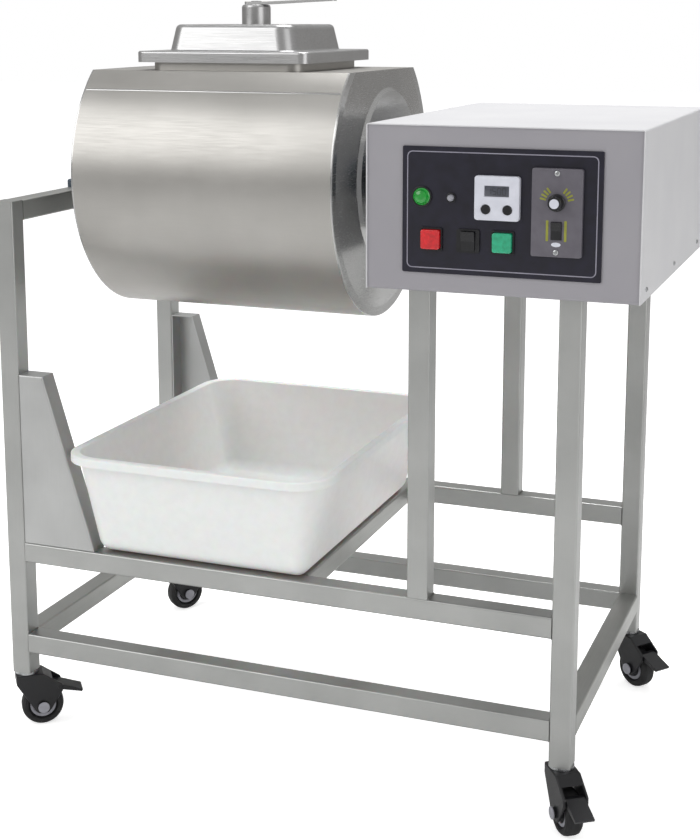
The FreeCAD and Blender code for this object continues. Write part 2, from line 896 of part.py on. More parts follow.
gasket_low = flat_top + size.neck_height
lid_under = gasket_low + size.gasket_height
lid_low = lid_under + size.lid_sheet - size.lid_skirt
lid_plate_top = lid_under + size.lid_sheet
pan_top = lid_plate_top + size.pan_rise
hub_top = pan_top + size.hub_height
ledge_low = flat_top + 2
bar_top = ledge_low - 1
bar_half = size.neck_depth / 2 - size.neck_wall - size.bar_end_gap


def upright(edge):
    return runs_along(edge, Vector(0, 0, 1))


def make_hatch():
    neck = new_body("hatch_neck")
    collar = new_sketch(neck, "XY_Plane")
    rounded_rectangle(collar, size.neck_length, size.neck_depth, size.neck_corner + size.neck_wall)
    rounded_rectangle(collar, mouth_length, mouth_depth, size.neck_corner)
    pad(neck, collar, size.neck_height)
    ledges = new_sketch(neck, "XY_Plane", ledge_low - flat_top)
    reach = size.ledge_reach + size.neck_wall / 2
    for side in (-1, 1):
        middle = side * (size.neck_depth / 2 - size.neck_wall / 2 - reach / 2)
        rectangle(ledges, size.ledge_width, reach, 0, middle)
    pad(neck, ledges, size.ledge_thick)
    node(place(neck, drum_middle, axis_depth, flat_top), "hatch_neck")

    gasket = new_body("hatch_gasket")
    ring = new_sketch(gasket, "XY_Plane")
    for side in (1, -1):
        grow = side * size.gasket_width / 2
        rounded_rectangle(ring, size.neck_length - size.neck_wall + 2 * grow,
                          size.neck_depth - size.neck_wall + 2 * grow, size.neck_corner + 1 + grow)
    pad(gasket, ring, size.gasket_height)
    node(place(gasket, drum_middle, axis_depth, gasket_low), "hatch_gasket")

    lid = lid_solid("lid", 0)
    cut_away(lid, lid_solid("lid_inside", size.lid_sheet))
    hole = circle(new_sketch(lid, "XY_Plane"), size.spindle_radius + size.running_gap)
    pocket(lid, hole, size.lid_skirt + size.pan_rise + 1, reverse=True)
    node(place(lid, drum_middle, axis_depth, lid_low), "lid")

    bore = size.spindle_radius + size.running_gap
    hub = turned("lid_hub", [
        (bore, 0), (size.hub_radius, 0), (size.hub_radius, size.hub_height - 4),
        (size.hub_radius - 1.2, size.hub_height - 1.2), (size.hub_radius - 4, size.hub_height),
        (bore, size.hub_height),
    ])
    node(place(hub, drum_middle, axis_depth, pan_top), "lid_hub")

    make_lever()

    spindle_top = hub_top + size.running_gap * 6 - (bar_top - size.bar_thick)
    bar = new_body("locking_bar")
    flat = rectangle(new_sketch(bar, "XY_Plane"), 2 * bar_half, size.bar_width)
    pad(bar, flat, size.bar_thick)
    round_edges(bar, 4, upright)
    pad(bar, circle(new_sketch(bar, "XY_Plane"), size.spindle_radius), spindle_top)
    node(place(bar, drum_middle, axis_depth, bar_top - size.bar_thick), "locking_bar")


def lid_solid(name, inset):
    """The lid's outside, or the room under it when inset by the sheet."""
    body = new_body(name)
    inset = as_size(inset)
    skirt = rounded_rectangle(new_sketch(body, "XY_Plane"), size.lid_length - 2 * inset,
                              size.lid_depth - 2 * inset, size.lid_corner - inset)
    pad(body, skirt, size.lid_skirt - inset)
    top = size.lid_skirt + size.pan_rise - inset
    low = rounded_rectangle(new_sketch(body, "XY_Plane", size.lid_skirt - inset),
                            size.pan_side - 2 * inset, size.pan_side - 2 * inset,
                            size.pan_corner - inset)
    high = rounded_rectangle(new_sketch(body, "XY_Plane", top), size.pan_top_side - 2 * inset,
                             size.pan_top_side - 2 * inset, size.pan_corner - inset)
    loft(body, low, high)
    round_edges(body, size.pan_bend - inset, lambda edge: at_height(edge, top.value))
    plate_edge = size.lid_depth.value / 2 - size.lid_corner.value
    round_edges(body, size.lid_bend - inset,
                lambda edge: at_height(edge, (size.lid_skirt - inset).value)
                and edge.BoundBox.Center.Length > plate_edge)
    return body


def make_lever():
    """Flat lever over the hub, rising slightly to its tip."""
    lever = new_body("lid_lever")
    side = outline(new_sketch(lever, "XZ_Plane"), [
        (-size.lever_tail, 0),
        (size.hub_radius, 0),
        (size.lever_reach, size.lever_rise),
        (size.lever_reach, size.lever_rise + size.lever_thick - 1),
        (size.hub_radius, size.lever_thick),
        (-size.lever_tail, size.lever_thick),
    ])
    pad(lever, side, size.lever_width, symmetric=True)
    taper = new_sketch(lever, "XY_Plane")
    for sign in (-1, 1):
        outline(taper, [
            (size.hub_radius, sign * size.lever_width / 2),
            (size.lever_reach + 1, sign * size.lever_tip_width / 2),
            (size.lever_reach + 1, sign * size.lever_width),
            (size.hub_radius, sign * size.lever_width),
        ])
    pocket(lever, taper, 4 * size.lever_rise, reverse=True)
    round_edges(lever, 6, lambda edge: abs(edge.BoundBox.ZLength) > 2
                and edge.BoundBox.XLength < 0.01 and edge.BoundBox.YLength < 0.01
                and (edge.BoundBox.XMin > size.hub_radius.value + 1 or edge.BoundBox.XMin < 0))
    node(place(lever, drum_middle, axis_depth, hub_top + size.running_gap * 6), "lid_lever")


# ---------------------------------------------------------------- bearings and drive

def make_bearings():
    pillow = new_body("bearing_left")
    centre = size.bearing_centre_height
    half = size.pillow_length / 2
    ring = size.pillow_ring_radius
    foot = outline(new_sketch(pillow, "YZ_Plane"), [
        (-half, 0), (half, 0), (half, size.pillow_foot - 2), (half - 3, size.pillow_foot),
        (ring + 5, size.pillow_foot), (ring, size.pillow_foot + 6), (ring, centre), (-ring, centre),
        (-ring, size.pillow_foot + 6), (-ring - 5, size.pillow_foot), (3 - half, size.pillow_foot),
        (-half, size.pillow_foot - 2),
    ])
    pad(pillow, foot, size.pillow_width, symmetric=True)
    pad(pillow, circle(new_sketch(pillow, "YZ_Plane"), ring, 0, centre), size.pillow_width,
        symmetric=True)
    bore = circle(new_sketch(pillow, "YZ_Plane"), size.left_shaft_radius + size.running_gap, 0, centre)
    pocket(pillow, bore, 2 * size.pillow_width, symmetric=True)
    holes = new_sketch(pillow, "XY_Plane")
    for side in (-1, 1):
        circle(holes, size.bolt_radius + size.running_gap, 0, side * size.pillow_bolt_spacing / 2)
    pocket(pillow, holes, size.pillow_foot * 2, reverse=True)
    node(place(pillow, left_column, axis_depth, size.bearing_rail_top), "bearing_left")

    flange = new_body("bearing_right")
    lobe = size.flange_bolt_spacing / 2
    thick = size.flange_bearing_thick
    plate = outline(new_sketch(flange, "YZ_Plane"), [
        (-lobe - 13, -12), (-26, -30), (26, -30), (lobe + 13, -12),
        (lobe + 13, 12), (26, 30), (-26, 30), (-lobe - 13, 12),
    ])
    pad(flange, plate, thick, reverse=True)
    round_edges(flange, 8, lambda edge: runs_along(edge, Vector(1, 0, 0)))
    pad(flange, circle(new_sketch(flange, "YZ_Plane"), size.flange_bearing_radius - 4),
        thick + size.flange_bearing_boss, reverse=True)
    bore = circle(new_sketch(flange, "YZ_Plane"), size.right_shaft_radius + size.running_gap)
    pocket(flange, bore, 4 * thick, symmetric=True)
    holes = new_sketch(flange, "YZ_Plane")
    for side in (-1, 1):
        circle(holes, size.bolt_radius + size.running_gap, side * lobe, 0)
    pocket(flange, holes, 4 * thick, symmetric=True)
    node(place(flange, box_left, axis_depth, axis_height), "bearing_right")

    bolts = []
    grip = size.pillow_foot + size.tube_side
    for side in (-1, 1):
        bolt = make_bolt(grip + size.bolt_head_height)
        place(bolt, left_column, axis_depth + side * size.pillow_bolt_spacing / 2,
              size.bearing_rail_top + size.pillow_foot, Rotation(Vector(1, 0, 0), 180))
        bolts.append(bolt)
        nut = make_nut()
        place(nut, left_column, axis_depth + side * size.pillow_bolt_spacing / 2,
              size.bearing_rail_top - size.tube_side - size.bolt_head_height)
        bolts.append(nut)
        bolt = make_bolt(size.flange_bearing_thick + size.box_sheet + size.bolt_head_height)
        place(bolt, box_left - size.flange_bearing_thick, axis_depth + side * lobe, axis_height,
              ALONG_X)
        bolts.append(bolt)
        nut = make_nut()
        place(nut, box_left + size.box_sheet, axis_depth + side * lobe, axis_height, ALONG_X)
        bolts.append(nut)
    group(bolts, "bearing_bolts")


def make_bolt(length):
    """Hexagon bolt: the shank runs along +Z from the seat, the head lies below it."""
    body = new_body("bolt")
    head = new_sketch(body, "XY_Plane")
    hexagon(head, size.bolt_head_radius)
    pad(body, head, size.bolt_head_height, reverse=True)
    pad(body, circle(new_sketch(body, "XY_Plane"), size.bolt_radius), length)
    return body


def make_nut():
    """Hexagon nut standing on its local origin."""
    body = new_body("nut")
    face = new_sketch(body, "XY_Plane")
    hexagon(face, size.bolt_head_radius)
    circle(face, size.bolt_radius)
    pad(body, face, size.bolt_head_height)
    return body


def hexagon(sketch, radius):
    """A regular hexagon about the sketch's origin."""
    corners = []
    for index in range(6):
        angle = math.radians(60 * index)
        corners.append((radius * round(math.cos(angle), 9), radius * round(math.sin(angle), 9)))
    return outline(sketch, corners)


def make_drive():
    start = box_left + size.box_sheet + size.gearbox_left_gap
    floor = size.box_bottom + size.box_sheet
    up = axis_height - floor
    case = new_body("gearbox")
    body_sketch = rectangle(new_sketch(case, "YZ_Plane"), size.gearbox_depth, size.gearbox_height,
                            0, up)
    pad(case, body_sketch, size.gearbox_length)
    round_edges(case, 12, lambda edge: runs_along(edge, Vector(1, 0, 0)))
    leg = rectangle(new_sketch(case, "YZ_Plane"), size.gearbox_depth - 30,
                    up - size.gearbox_height / 2 + 1, 0, (up - size.gearbox_height / 2 + 1) / 2)
    pad(case, leg, size.gearbox_length)
    foot = rectangle(new_sketch(case, "YZ_Plane"), size.gearbox_foot_length, size.gearbox_foot, 0,
                     size.gearbox_foot / 2)
    pad(case, foot, size.gearbox_length)
    bore = circle(new_sketch(case, "YZ_Plane"), size.right_shaft_radius + size.running_gap, 0, up)
    pocket(case, bore, 3 * size.gearbox_length, symmetric=True)
    node(place(case, start, axis_depth, floor), "gearbox")

    radius = size.motor_radius
    length = size.motor_length
    motor = turned("motor", [
        (0, 0), (radius - 6, 0), (radius - 6, 10), (radius, 10), (radius, length - 45),
        (radius - 3, length - 45), (radius - 3, length - 42), (radius, length - 42),
        (radius, length - 6), (radius - 6, length), (0, length),
    ])
    place(motor, start + size.gearbox_length / 2, axis_depth + size.gearbox_depth / 2, axis_height,
          ALONG_Y)
    node(motor, "motor")


# ---------------------------------------------------------------- control box

def make_box():
    sheet = size.box_sheet
    inset = size.box_cover_inset
    # Cover: left side, top and right side in one folded sheet, with return flanges below.
    cover = new_body("box_cover")
    outer = rectangle(new_sketch(cover, "XZ_Plane"), size.box_width, size.box_height,
                      size.box_width / 2, size.box_height / 2)
    pad(cover, outer, size.box_depth, reverse=True)
    round_edges(cover, size.box_bend, lambda edge: runs_along(edge, Vector(0, 1, 0))
                and edge.BoundBox.ZMin > 1)
    inner = rectangle(new_sketch(cover, "XZ_Plane"), size.box_width - 2 * sheet,
                      size.box_height - sheet, size.box_width / 2, (size.box_height - sheet) / 2)
    pocket(cover, inner, size.box_depth)
    hole = new_sketch(cover, "YZ_Plane")
    circle(hole, size.shaft_hole_radius, axis_depth - box_front, axis_height - size.box_bottom)
    for side in (-1, 1):
        circle(hole, size.bolt_radius + size.running_gap,
               axis_depth - box_front + side * size.flange_bolt_spacing / 2,
               axis_height - size.box_bottom)
    pocket(cover, hole, 4 * sheet, symmetric=True)
    node(place(cover, box_left, box_front, size.box_bottom), "box_cover")

    # Chassis: front, floor and back in one folded sheet, standing just inside the cover.
    chassis = new_body("box_chassis")
    width = size.box_width - 2 * sheet
    tall = size.box_height - sheet
    depth = size.box_depth - 2 * inset
    solid = rectangle(new_sketch(chassis, "YZ_Plane"), depth, tall, depth / 2, tall / 2)
    pad(chassis, solid, width)
    round_edges(chassis, size.box_bend, lambda edge: runs_along(edge, Vector(1, 0, 0))
                and edge.BoundBox.ZMax < 1)
    room = rectangle(new_sketch(chassis, "YZ_Plane"), depth - 2 * sheet, tall - sheet,
                     depth / 2, sheet + (tall - sheet) / 2)
    pocket(chassis, room, width, reverse=True)
    back = circle(new_sketch(chassis, "XZ_Plane", 2 * sheet - depth),
                  size.gland_thread_radius + size.running_gap, size.gland_across - sheet,
                  size.gland_up)
    pocket(chassis, back, 4 * sheet)
    button_holes = new_sketch(chassis, "XZ_Plane")
    for across in (size.stop_across, size.start_across):
        rounded_rectangle(button_holes, button_hole, button_hole, 3, across - sheet, size.lower_row)
    pocket(chassis, button_holes, 2 * sheet)
    node(place(chassis, box_left + sheet, box_front + inset, size.box_bottom), "box_chassis")


def on_panel(across, up, proud=0):
    """A place on the box's front, given from its lower left corner, standing proud of it."""
    return (box_left + across, box_front + size.box_cover_inset - proud, size.box_bottom + up)


def plate(name, width, height, thick, corner):
    """A plate with rounded corners, its back on the local origin, facing local +Z."""
    body = new_body(name)
    pad(body, rounded_rectangle(new_sketch(body, "XY_Plane"), width, height, corner), thick)
    return body


def soften(body, thick, amount):
    """Round the front edges of a plate or button."""
    round_edges(body, amount, lambda edge: at_height(edge, thick.value))
    return body


def make_panel():
    panel = plate("control_panel", size.panel_width, size.panel_height, size.panel_thick,
                  size.panel_corner)
    across = size.panel_left + size.panel_width / 2
    up = size.panel_bottom + size.panel_height / 2
    holes = new_sketch(panel, "XY_Plane")
    for button in (size.stop_across, size.start_across):
        rounded_rectangle(holes, button_hole, button_hole, 3, button - across, size.lower_row - up)
    pocket(panel, holes, size.panel_thick, reverse=True)
    node(place(panel, *on_panel(across, up), turn=FACING_FRONT), "control_panel")

    face = size.panel_thick
    lamps = []
    for across, radius in ((size.lamp_across, size.lamp_radius),
                           (size.small_lamp_across, size.small_lamp_radius)):
        lens = turned("lamp", [
            (0, 0), (radius, 0), (radius, 2), (radius - 1, 3), (radius - 1.5, 3),
            (radius * 0.7, size.lamp_proud * 0.85), (radius * 0.35, size.lamp_proud), (0, size.lamp_proud),
        ])
        lamps.append(place(lens, *on_panel(across, size.lamp_up, face), turn=FACING_FRONT))
    group(lamps, "panel_lamps")

    bezels = []
    gap = size.switch_gap
    for across, width, height in (
            (size.stop_across, size.button_side, size.button_side),
            (size.rocker_across, size.rocker_width, size.rocker_height),
            (size.start_across, size.button_side, size.button_side)):
        bezel = plate("bezel", size.bezel_side, size.bezel_side, size.bezel_thick, 3)
        hole = rectangle(new_sketch(bezel, "XY_Plane"), width + 2 * gap, height + 2 * gap)
        pocket(bezel, hole, size.bezel_thick, reverse=True)
        bezels.append(place(bezel, *on_panel(across, size.lower_row, face), turn=FACING_FRONT))
    group(bezels, "switch_bezels")

    thick = face + size.bezel_thick + size.button_proud
    for label, across in (("stop_button", size.stop_across), ("start_button", size.start_across)):
        cap = soften(plate(label, size.button_side, size.button_side, thick, 3), thick, 1.5)
        node(place(cap, *on_panel(across, size.lower_row), turn=FACING_FRONT), label)

    node(place(make_rocker("power_rocker", size.rocker_width, size.rocker_height, size.bezel_thick),
               *on_panel(size.rocker_across, size.lower_row, face), turn=FACING_FRONT),
         "power_rocker")
    make_timer(face)
    make_controller(face)


def make_rocker(name, width, height, rim):
    """Rocker cap with a shallow valley across its face, tilted so that its upper end is out."""
    body = new_body(name)
    half = height / 2
    tilt = math.radians(ROCKER_TILT)
    side = []
    for along, up in ((-half, 0), (half, 0), (half, 2.8), (0, 1.6), (-half, 2.8)):
        side.append((along * math.cos(tilt) - as_size(up) * math.sin(tilt),
                     rim + along * math.sin(tilt) + as_size(up) * math.cos(tilt)))
    pad(body, outline(new_sketch(body, "YZ_Plane"), side), width, symmetric=True)
    return body


def make_timer(face):
    case = plate("timer_case", size.timer_width, size.timer_height, size.timer_thick,
                 size.timer_corner)
    soften(case, size.timer_thick, 1.5)
    window = rectangle(new_sketch(case, "XY_Plane", size.timer_thick), size.timer_window_width,
                       size.timer_window_height, 0, size.timer_window_up)
    pocket(case, window, 1.5)
    keys = new_sketch(case, "XY_Plane", size.timer_thick)
    for side in (-1, 1):
        circle(keys, size.timer_key_radius + size.switch_gap, side * size.timer_key_spacing / 2,
               -size.timer_key_down)
    pocket(case, keys, size.timer_key_travel + 2)
    node(place(case, *on_panel(size.timer_across, size.timer_up, face), turn=FACING_FRONT),
         "timer_case")
    radius = size.timer_key_radius
    tall = size.timer_key_proud + 2
    for label, side in (("timer_key_left", -1), ("timer_key_right", 1)):
        key = turned(label, [
            (0, 0), (radius, 0), (radius, tall - 1), (radius - 1, tall), (0, tall),
        ])
        spot = on_panel(size.timer_across + side * size.timer_key_spacing / 2,
                        size.timer_up - size.timer_key_down,
                        face + size.timer_thick - 2 + size.switch_gap / 4)
        node(place(key, *spot, turn=FACING_FRONT), label)


def make_controller(face):
    base = plate("controller_plate", size.controller_width, size.controller_height,
                 size.controller_thick, 3)
    soften(base, size.controller_thick, 1)
    slot = rectangle(new_sketch(base, "XY_Plane", size.controller_thick),
                     size.run_rocker_width + 2 * size.switch_gap,
                     size.run_rocker_height + 2 * size.switch_gap, 0, -size.run_rocker_down)
    pocket(base, slot, 2)
    node(place(base, *on_panel(size.controller_across, size.controller_up, face),
               turn=FACING_FRONT), "controller_plate")

    radius = size.knob_radius
    tall = size.knob_proud
    knob = turned("speed_knob", [
        (0, 0), (radius, 0), (radius, 2), (radius - 1.5, 3), (radius - 2.5, tall - 1),
        (radius - 3.5, tall), (0, tall),
    ])
    mark = rectangle(new_sketch(knob, "XY_Plane", tall), 1.6, radius - 2, 0, radius / 2 - 1)
    pocket(knob, mark, 1)
    spot = on_panel(size.controller_across, size.controller_up + size.knob_up,
                    face + size.controller_thick + size.switch_gap)
    node(place(knob, *spot, turn=FACING_FRONT), "speed_knob")

    spot = on_panel(size.controller_across, size.controller_up - size.run_rocker_down,
                    face + size.controller_thick)
    rocker = make_rocker("run_rocker", size.run_rocker_width, size.run_rocker_height,
                         as_size(-0.2))
    node(place(rocker, *spot, turn=FACING_FRONT), "run_rocker")


def make_gland():
    bore = size.gland_bore
    thread = size.gland_thread_radius
    body = size.gland_body_radius
    length = size.gland_length
    gland = turned("cable_gland", [
        (bore, -8), (thread, -8), (thread, 0), (body, 0), (body, 6), (body - 1, 7),
        (body - 1.5, length - 6), (body - 4, length), (bore, length),
    ])
    back = box_back - size.box_cover_inset
    node(place(gland, box_left + size.gland_across, back, size.box_bottom + size.gland_up, ALONG_Y),
         "cable_gland")


# ---------------------------------------------------------------- tub

def make_tub():
    lip_low = size.tub_height - size.tub_lip_height
    tub = basin("tub", 0)
    lip_corner = size.tub_foot_corner + size.tub_draft + size.tub_lip
    lip = rounded_rectangle(new_sketch(tub, "XY_Plane", lip_low), size.tub_width, size.tub_depth,
                            lip_corner)
    pad(tub, lip, size.tub_lip_height)
    cut_away(tub, basin("tub_inside", size.tub_wall))
    under = new_body("lip_inside")
    under_lip = new_sketch(under, "XY_Plane", lip_low)
    for grow in (-size.tub_wall, size.tub_wall - size.tub_lip):
        rounded_rectangle(under_lip, size.tub_width + 2 * grow, size.tub_depth + 2 * grow,
                          lip_corner + grow)
    pad(under, under_lip, size.tub_lip_height - size.tub_wall)
    cut_away(tub, under)
    round_edges(tub, size.tub_wall - 0.5, lambda edge: at_height(edge, size.tub_height.value))
    node(place(tub, left_side + size.tub_left + size.tub_width / 2,
               front_side - size.tub_front_overhang + size.tub_depth / 2, size.upper_rail_top),
         "tub")


def basin(name, wall):
    """The tapered basin's outside, or its inside when a wall thickness is given."""
    wall = as_size(wall)
    wide = size.tub_width - 2 * size.tub_lip - 2 * wall
    deep = size.tub_depth - 2 * size.tub_lip - 2 * wall
    taper = 2 * size.tub_draft * (size.tub_height - wall) / size.tub_height
    body = new_body(name)
    foot = rounded_rectangle(new_sketch(body, "XY_Plane", wall), wide - taper, deep - taper,
                             size.tub_foot_corner)
    draft = size.tub_draft / size.tub_height
    bind(pad(body, foot, size.tub_height - wall), "TaperAngle", Size(
        math.degrees(math.atan(draft.value)), f"atan({draft.text})"))
    doc.recompute()
    round_edges(body, size.tub_foot_bend - wall, lambda edge: at_height(edge, wall.value))
    return body


# ---------------------------------------------------------------- build, check and write

make_stand()
make_casters()
make_drum()
make_shafts()
make_hatch()
make_bearings()
make_drive()
make_box()
make_panel()
make_gland()
make_tub()
doc.recompute()

for item in doc.Objects:
    if "Invalid" in item.State or "Error" in item.State:
        raise RuntimeError(f"{item.Label} ({item.Name}) failed: {item.State}")

os.makedirs("parts", exist_ok=True)
for item in nodes:
    shape = item.Shape
    if shape.isNull() or not shape.isValid() or not shape.Solids:
        raise RuntimeError(f"{item.Label} has no valid solid")
    shape.exportStep(f"parts/{item.Label}.step")
print(len(nodes), "sub-parts written")
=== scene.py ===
import json
import logging
import math
from dataclasses import dataclass, field
from enum import Enum
from typing import Callable, Iterable, Optional, Sequence, Tuple

import bmesh
import bpy
from mathutils import Matrix, Vector


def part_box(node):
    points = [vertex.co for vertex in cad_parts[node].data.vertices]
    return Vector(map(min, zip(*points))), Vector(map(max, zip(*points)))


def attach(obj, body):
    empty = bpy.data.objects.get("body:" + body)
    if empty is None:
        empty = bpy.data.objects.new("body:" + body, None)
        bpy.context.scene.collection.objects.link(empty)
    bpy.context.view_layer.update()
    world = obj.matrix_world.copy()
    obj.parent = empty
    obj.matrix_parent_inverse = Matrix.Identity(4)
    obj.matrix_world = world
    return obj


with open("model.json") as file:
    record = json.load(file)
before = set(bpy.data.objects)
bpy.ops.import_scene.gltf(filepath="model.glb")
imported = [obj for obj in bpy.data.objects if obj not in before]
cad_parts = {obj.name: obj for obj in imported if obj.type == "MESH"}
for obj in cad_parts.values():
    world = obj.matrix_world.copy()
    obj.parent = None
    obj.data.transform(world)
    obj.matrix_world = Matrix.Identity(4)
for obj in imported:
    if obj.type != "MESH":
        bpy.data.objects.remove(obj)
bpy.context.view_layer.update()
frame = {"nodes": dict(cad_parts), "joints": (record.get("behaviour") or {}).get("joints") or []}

log = logging.getLogger("meat_tumbler")
logging.basicConfig(level=logging.INFO, format="%(name)s: %(message)s")

MM = 0.001
Colour = Tuple[float, float, float, float]


class Axis(Enum):
    """The three directions of the machine."""

    X = (1.0, 0.0, 0.0)
    Y = (0.0, 1.0, 0.0)
    Z = (0.0, 0.0, 1.0)

    @property
    def vector(self) -> Vector:
        """The direction as a vector."""
        return Vector(self.value)


class Side(Enum):
    """Which way along an axis."""

    LOW = -1
    HIGH = 1


def linear(colour: str) -> Colour:
    """Turn an sRGB hex colour into the linear one that a shader takes.

    Args:
        colour: Six hex digits after a hash sign.

    Returns:
        Red, green, blue and an alpha of one.
    """
    parts = [int(colour[start:start + 2], 16) / 255 for start in (1, 3, 5)]
    red, green, blue = (p / 12.92 if p <= 0.04045 else ((p + 0.055) / 1.055) ** 2.4 for p in parts)
    return red, green, blue, 1.0


def add_node(tree: bpy.types.NodeTree, kind: str, inputs: Optional[dict] = None,
             **settings) -> bpy.types.Node:
    """Add one node with its settings and links.

    Args:
        tree: The node tree that gets it.
        kind: Blender's name for the node type.
        inputs: What each named or numbered input is: a socket to link, or a value.
        **settings: The node's own properties.

    Returns:
        The new node.
    """
    node = tree.nodes.new(kind)
    for name, value in settings.items():
        setattr(node, name, value)
    for name, value in (inputs or {}).items():
        if isinstance(value, bpy.types.NodeSocket):
            tree.links.new(value, node.inputs[name])
        else:
            node.inputs[name].default_value = value
    return node


def blank_material(name: str) -> Tuple[bpy.types.Material, bpy.types.Node]:
    """Start a material with a Principled shader wired to its output.

    Args:
        name: The material's name.

    Returns:
        The material and its shader node.
    """
    material = bpy.data.materials.new(name)
    material.use_nodes = True
    material.node_tree.nodes.clear()
    shader = add_node(material.node_tree, "ShaderNodeBsdfPrincipled")
    add_node(material.node_tree, "ShaderNodeOutputMaterial", {"Surface": shader.outputs["BSDF"]})
    return material, shader


def grain(tree: bpy.types.NodeTree, size_mm: Tuple[float, float, float],
          detail: float = 3.0) -> bpy.types.NodeSocket:
    """A noise pattern in the object's own place.

    Args:
        tree: The node tree that gets it.
        size_mm: How long one grain is along X, Y and Z, in millimetres.
        detail: How many finer layers the noise has.

    Returns:
        The noise's value, from 0 to 1.
    """
    where = add_node(tree, "ShaderNodeTexCoord")
    scale = tuple(1.0 / (length * MM) for length in size_mm)
    spot = add_node(tree, "ShaderNodeMapping", {"Vector": where.outputs["Object"], "Scale": scale})
    noise = add_node(tree, "ShaderNodeTexNoise",
                     {"Vector": spot.outputs["Vector"], "Scale": 1.0, "Detail": detail})
    return noise.outputs["Fac"]


def spread(tree: bpy.types.NodeTree, value: bpy.types.NodeSocket, low: float,
           high: float) -> bpy.types.NodeSocket:
    """Spread a noise's middle range over two limits.

    Args:
        tree: The node tree that gets it.
        value: The noise.
        low: What the noise's low end becomes.
        high: What its high end becomes.

    Returns:
        The spread value.
    """
    inputs = {"Value": value, "From Min": 0.3, "From Max": 0.7, "To Min": low, "To Max": high}
    return add_node(tree, "ShaderNodeMapRange", inputs).outputs["Result"]


def between(tree: bpy.types.NodeTree, amount: bpy.types.NodeSocket, first: str,
            second: str) -> bpy.types.NodeSocket:
    """Mix two colours by a pattern.

    Args:
        tree: The node tree that gets it.
        amount: The pattern, 0 for the first colour and 1 for the second.
        first: The first colour in sRGB hex.
        second: The second colour in sRGB hex.

    Returns:
        The mixed colour.
    """
    node = add_node(tree, "ShaderNodeMix", data_type="RGBA")
    tree.links.new(amount, node.inputs[0])
    node.inputs[6].default_value = linear(first)
    node.inputs[7].default_value = linear(second)
    return node.outputs[2]


@dataclass(frozen=True)
class BrushedStainless:
    """Stainless steel sheet or tube, belt brushed: fine lines along the grain and soft handling marks."""

    name: str
    colour: str
    worn: str
    roughness: float
    along: Axis
    line_mm: float = 0.9  # a real belt line is near 0.1 mm; drawn coarser so that it shows
    line_depth_mm: float = 0.012

    def build(self) -> bpy.types.Material:
        """Make the material: brushed lines drive the bump and gloss, and wide marks the tint."""
        material, shader = blank_material(self.name)
        tree = material.node_tree
        long, fine = self.line_mm * 60, self.line_mm
        size = tuple(long if part else fine for part in self.along.value)
        lines = grain(tree, size, 2.0)
        marks = grain(tree, (90.0, 90.0, 90.0), 4.0)
        tint = between(tree, spread(tree, marks, 0.0, 1.0), self.colour, self.worn)
        gloss = spread(tree, lines, self.roughness - 0.05, self.roughness + 0.07)
        bump = add_node(tree, "ShaderNodeBump",
                        {"Height": lines, "Strength": 0.35, "Distance": self.line_depth_mm * MM})
        shader.inputs["Metallic"].default_value = 1.0
        tree.links.new(tint, shader.inputs["Base Color"])
        tree.links.new(gloss, shader.inputs["Roughness"])
        tree.links.new(bump.outputs["Normal"], shader.inputs["Normal"])
        return material


@dataclass(frozen=True)
class PowderCoat:
    """Steel sheet, powder coated and baked: an even colour with a faint orange peel."""

    name: str
    colour: str
    faded: str
    roughness: float = 0.38
    peel_mm: float = 1.6

    def build(self) -> bpy.types.Material:
        """Make the material: peel in the bump, a slow drift in the colour."""
        material, shader = blank_material(self.name)
        tree = material.node_tree
        peel = grain(tree, (self.peel_mm,) * 3, 1.0)
        drift = grain(tree, (120.0, 120.0, 120.0), 2.0)
        tint = between(tree, spread(tree, drift, 0.0, 1.0), self.colour, self.faded)
        bump = add_node(tree, "ShaderNodeBump", {"Height": peel, "Strength": 0.25, "Distance": 0.03 * MM})
        gloss = spread(tree, peel, self.roughness - 0.03, self.roughness + 0.05)
        tree.links.new(tint, shader.inputs["Base Color"])
        tree.links.new(gloss, shader.inputs["Roughness"])
        tree.links.new(bump.outputs["Normal"], shader.inputs["Normal"])
        return material


@dataclass(frozen=True)
class MouldedPlastic:
    """Injection moulded plastic: spark-eroded texture, a soft gloss and scuffs along what is handled."""

    name: str
    colour: str
    scuffed: str
    roughness: float = 0.35
    texture_mm: float = 0.8
    subsurface: float = 0.0

    def build(self) -> bpy.types.Material:
        """Make the material: mould texture in the bump, scuffs in the colour and gloss."""
        material, shader = blank_material(self.name)
        tree = material.node_tree
        texture = grain(tree, (self.texture_mm,) * 3, 2.0)
        scuffs = grain(tree, (14.0, 14.0, 14.0), 5.0)
        tint = between(tree, spread(tree, scuffs, 0.0, 1.0), self.colour, self.scuffed)
        gloss = spread(tree, scuffs, self.roughness - 0.04, self.roughness + 0.08)
        bump = add_node(tree, "ShaderNodeBump", {"Height": texture, "Strength": 0.2, "Distance": 0.02 * MM})
        shader.inputs["IOR"].default_value = 1.5
        shader.inputs["Subsurface Weight"].default_value = self.subsurface
        shader.inputs["Subsurface Scale"].default_value = 6 * MM
        tree.links.new(tint, shader.inputs["Base Color"])
        tree.links.new(gloss, shader.inputs["Roughness"])
        tree.links.new(bump.outputs["Normal"], shader.inputs["Normal"])
        return material


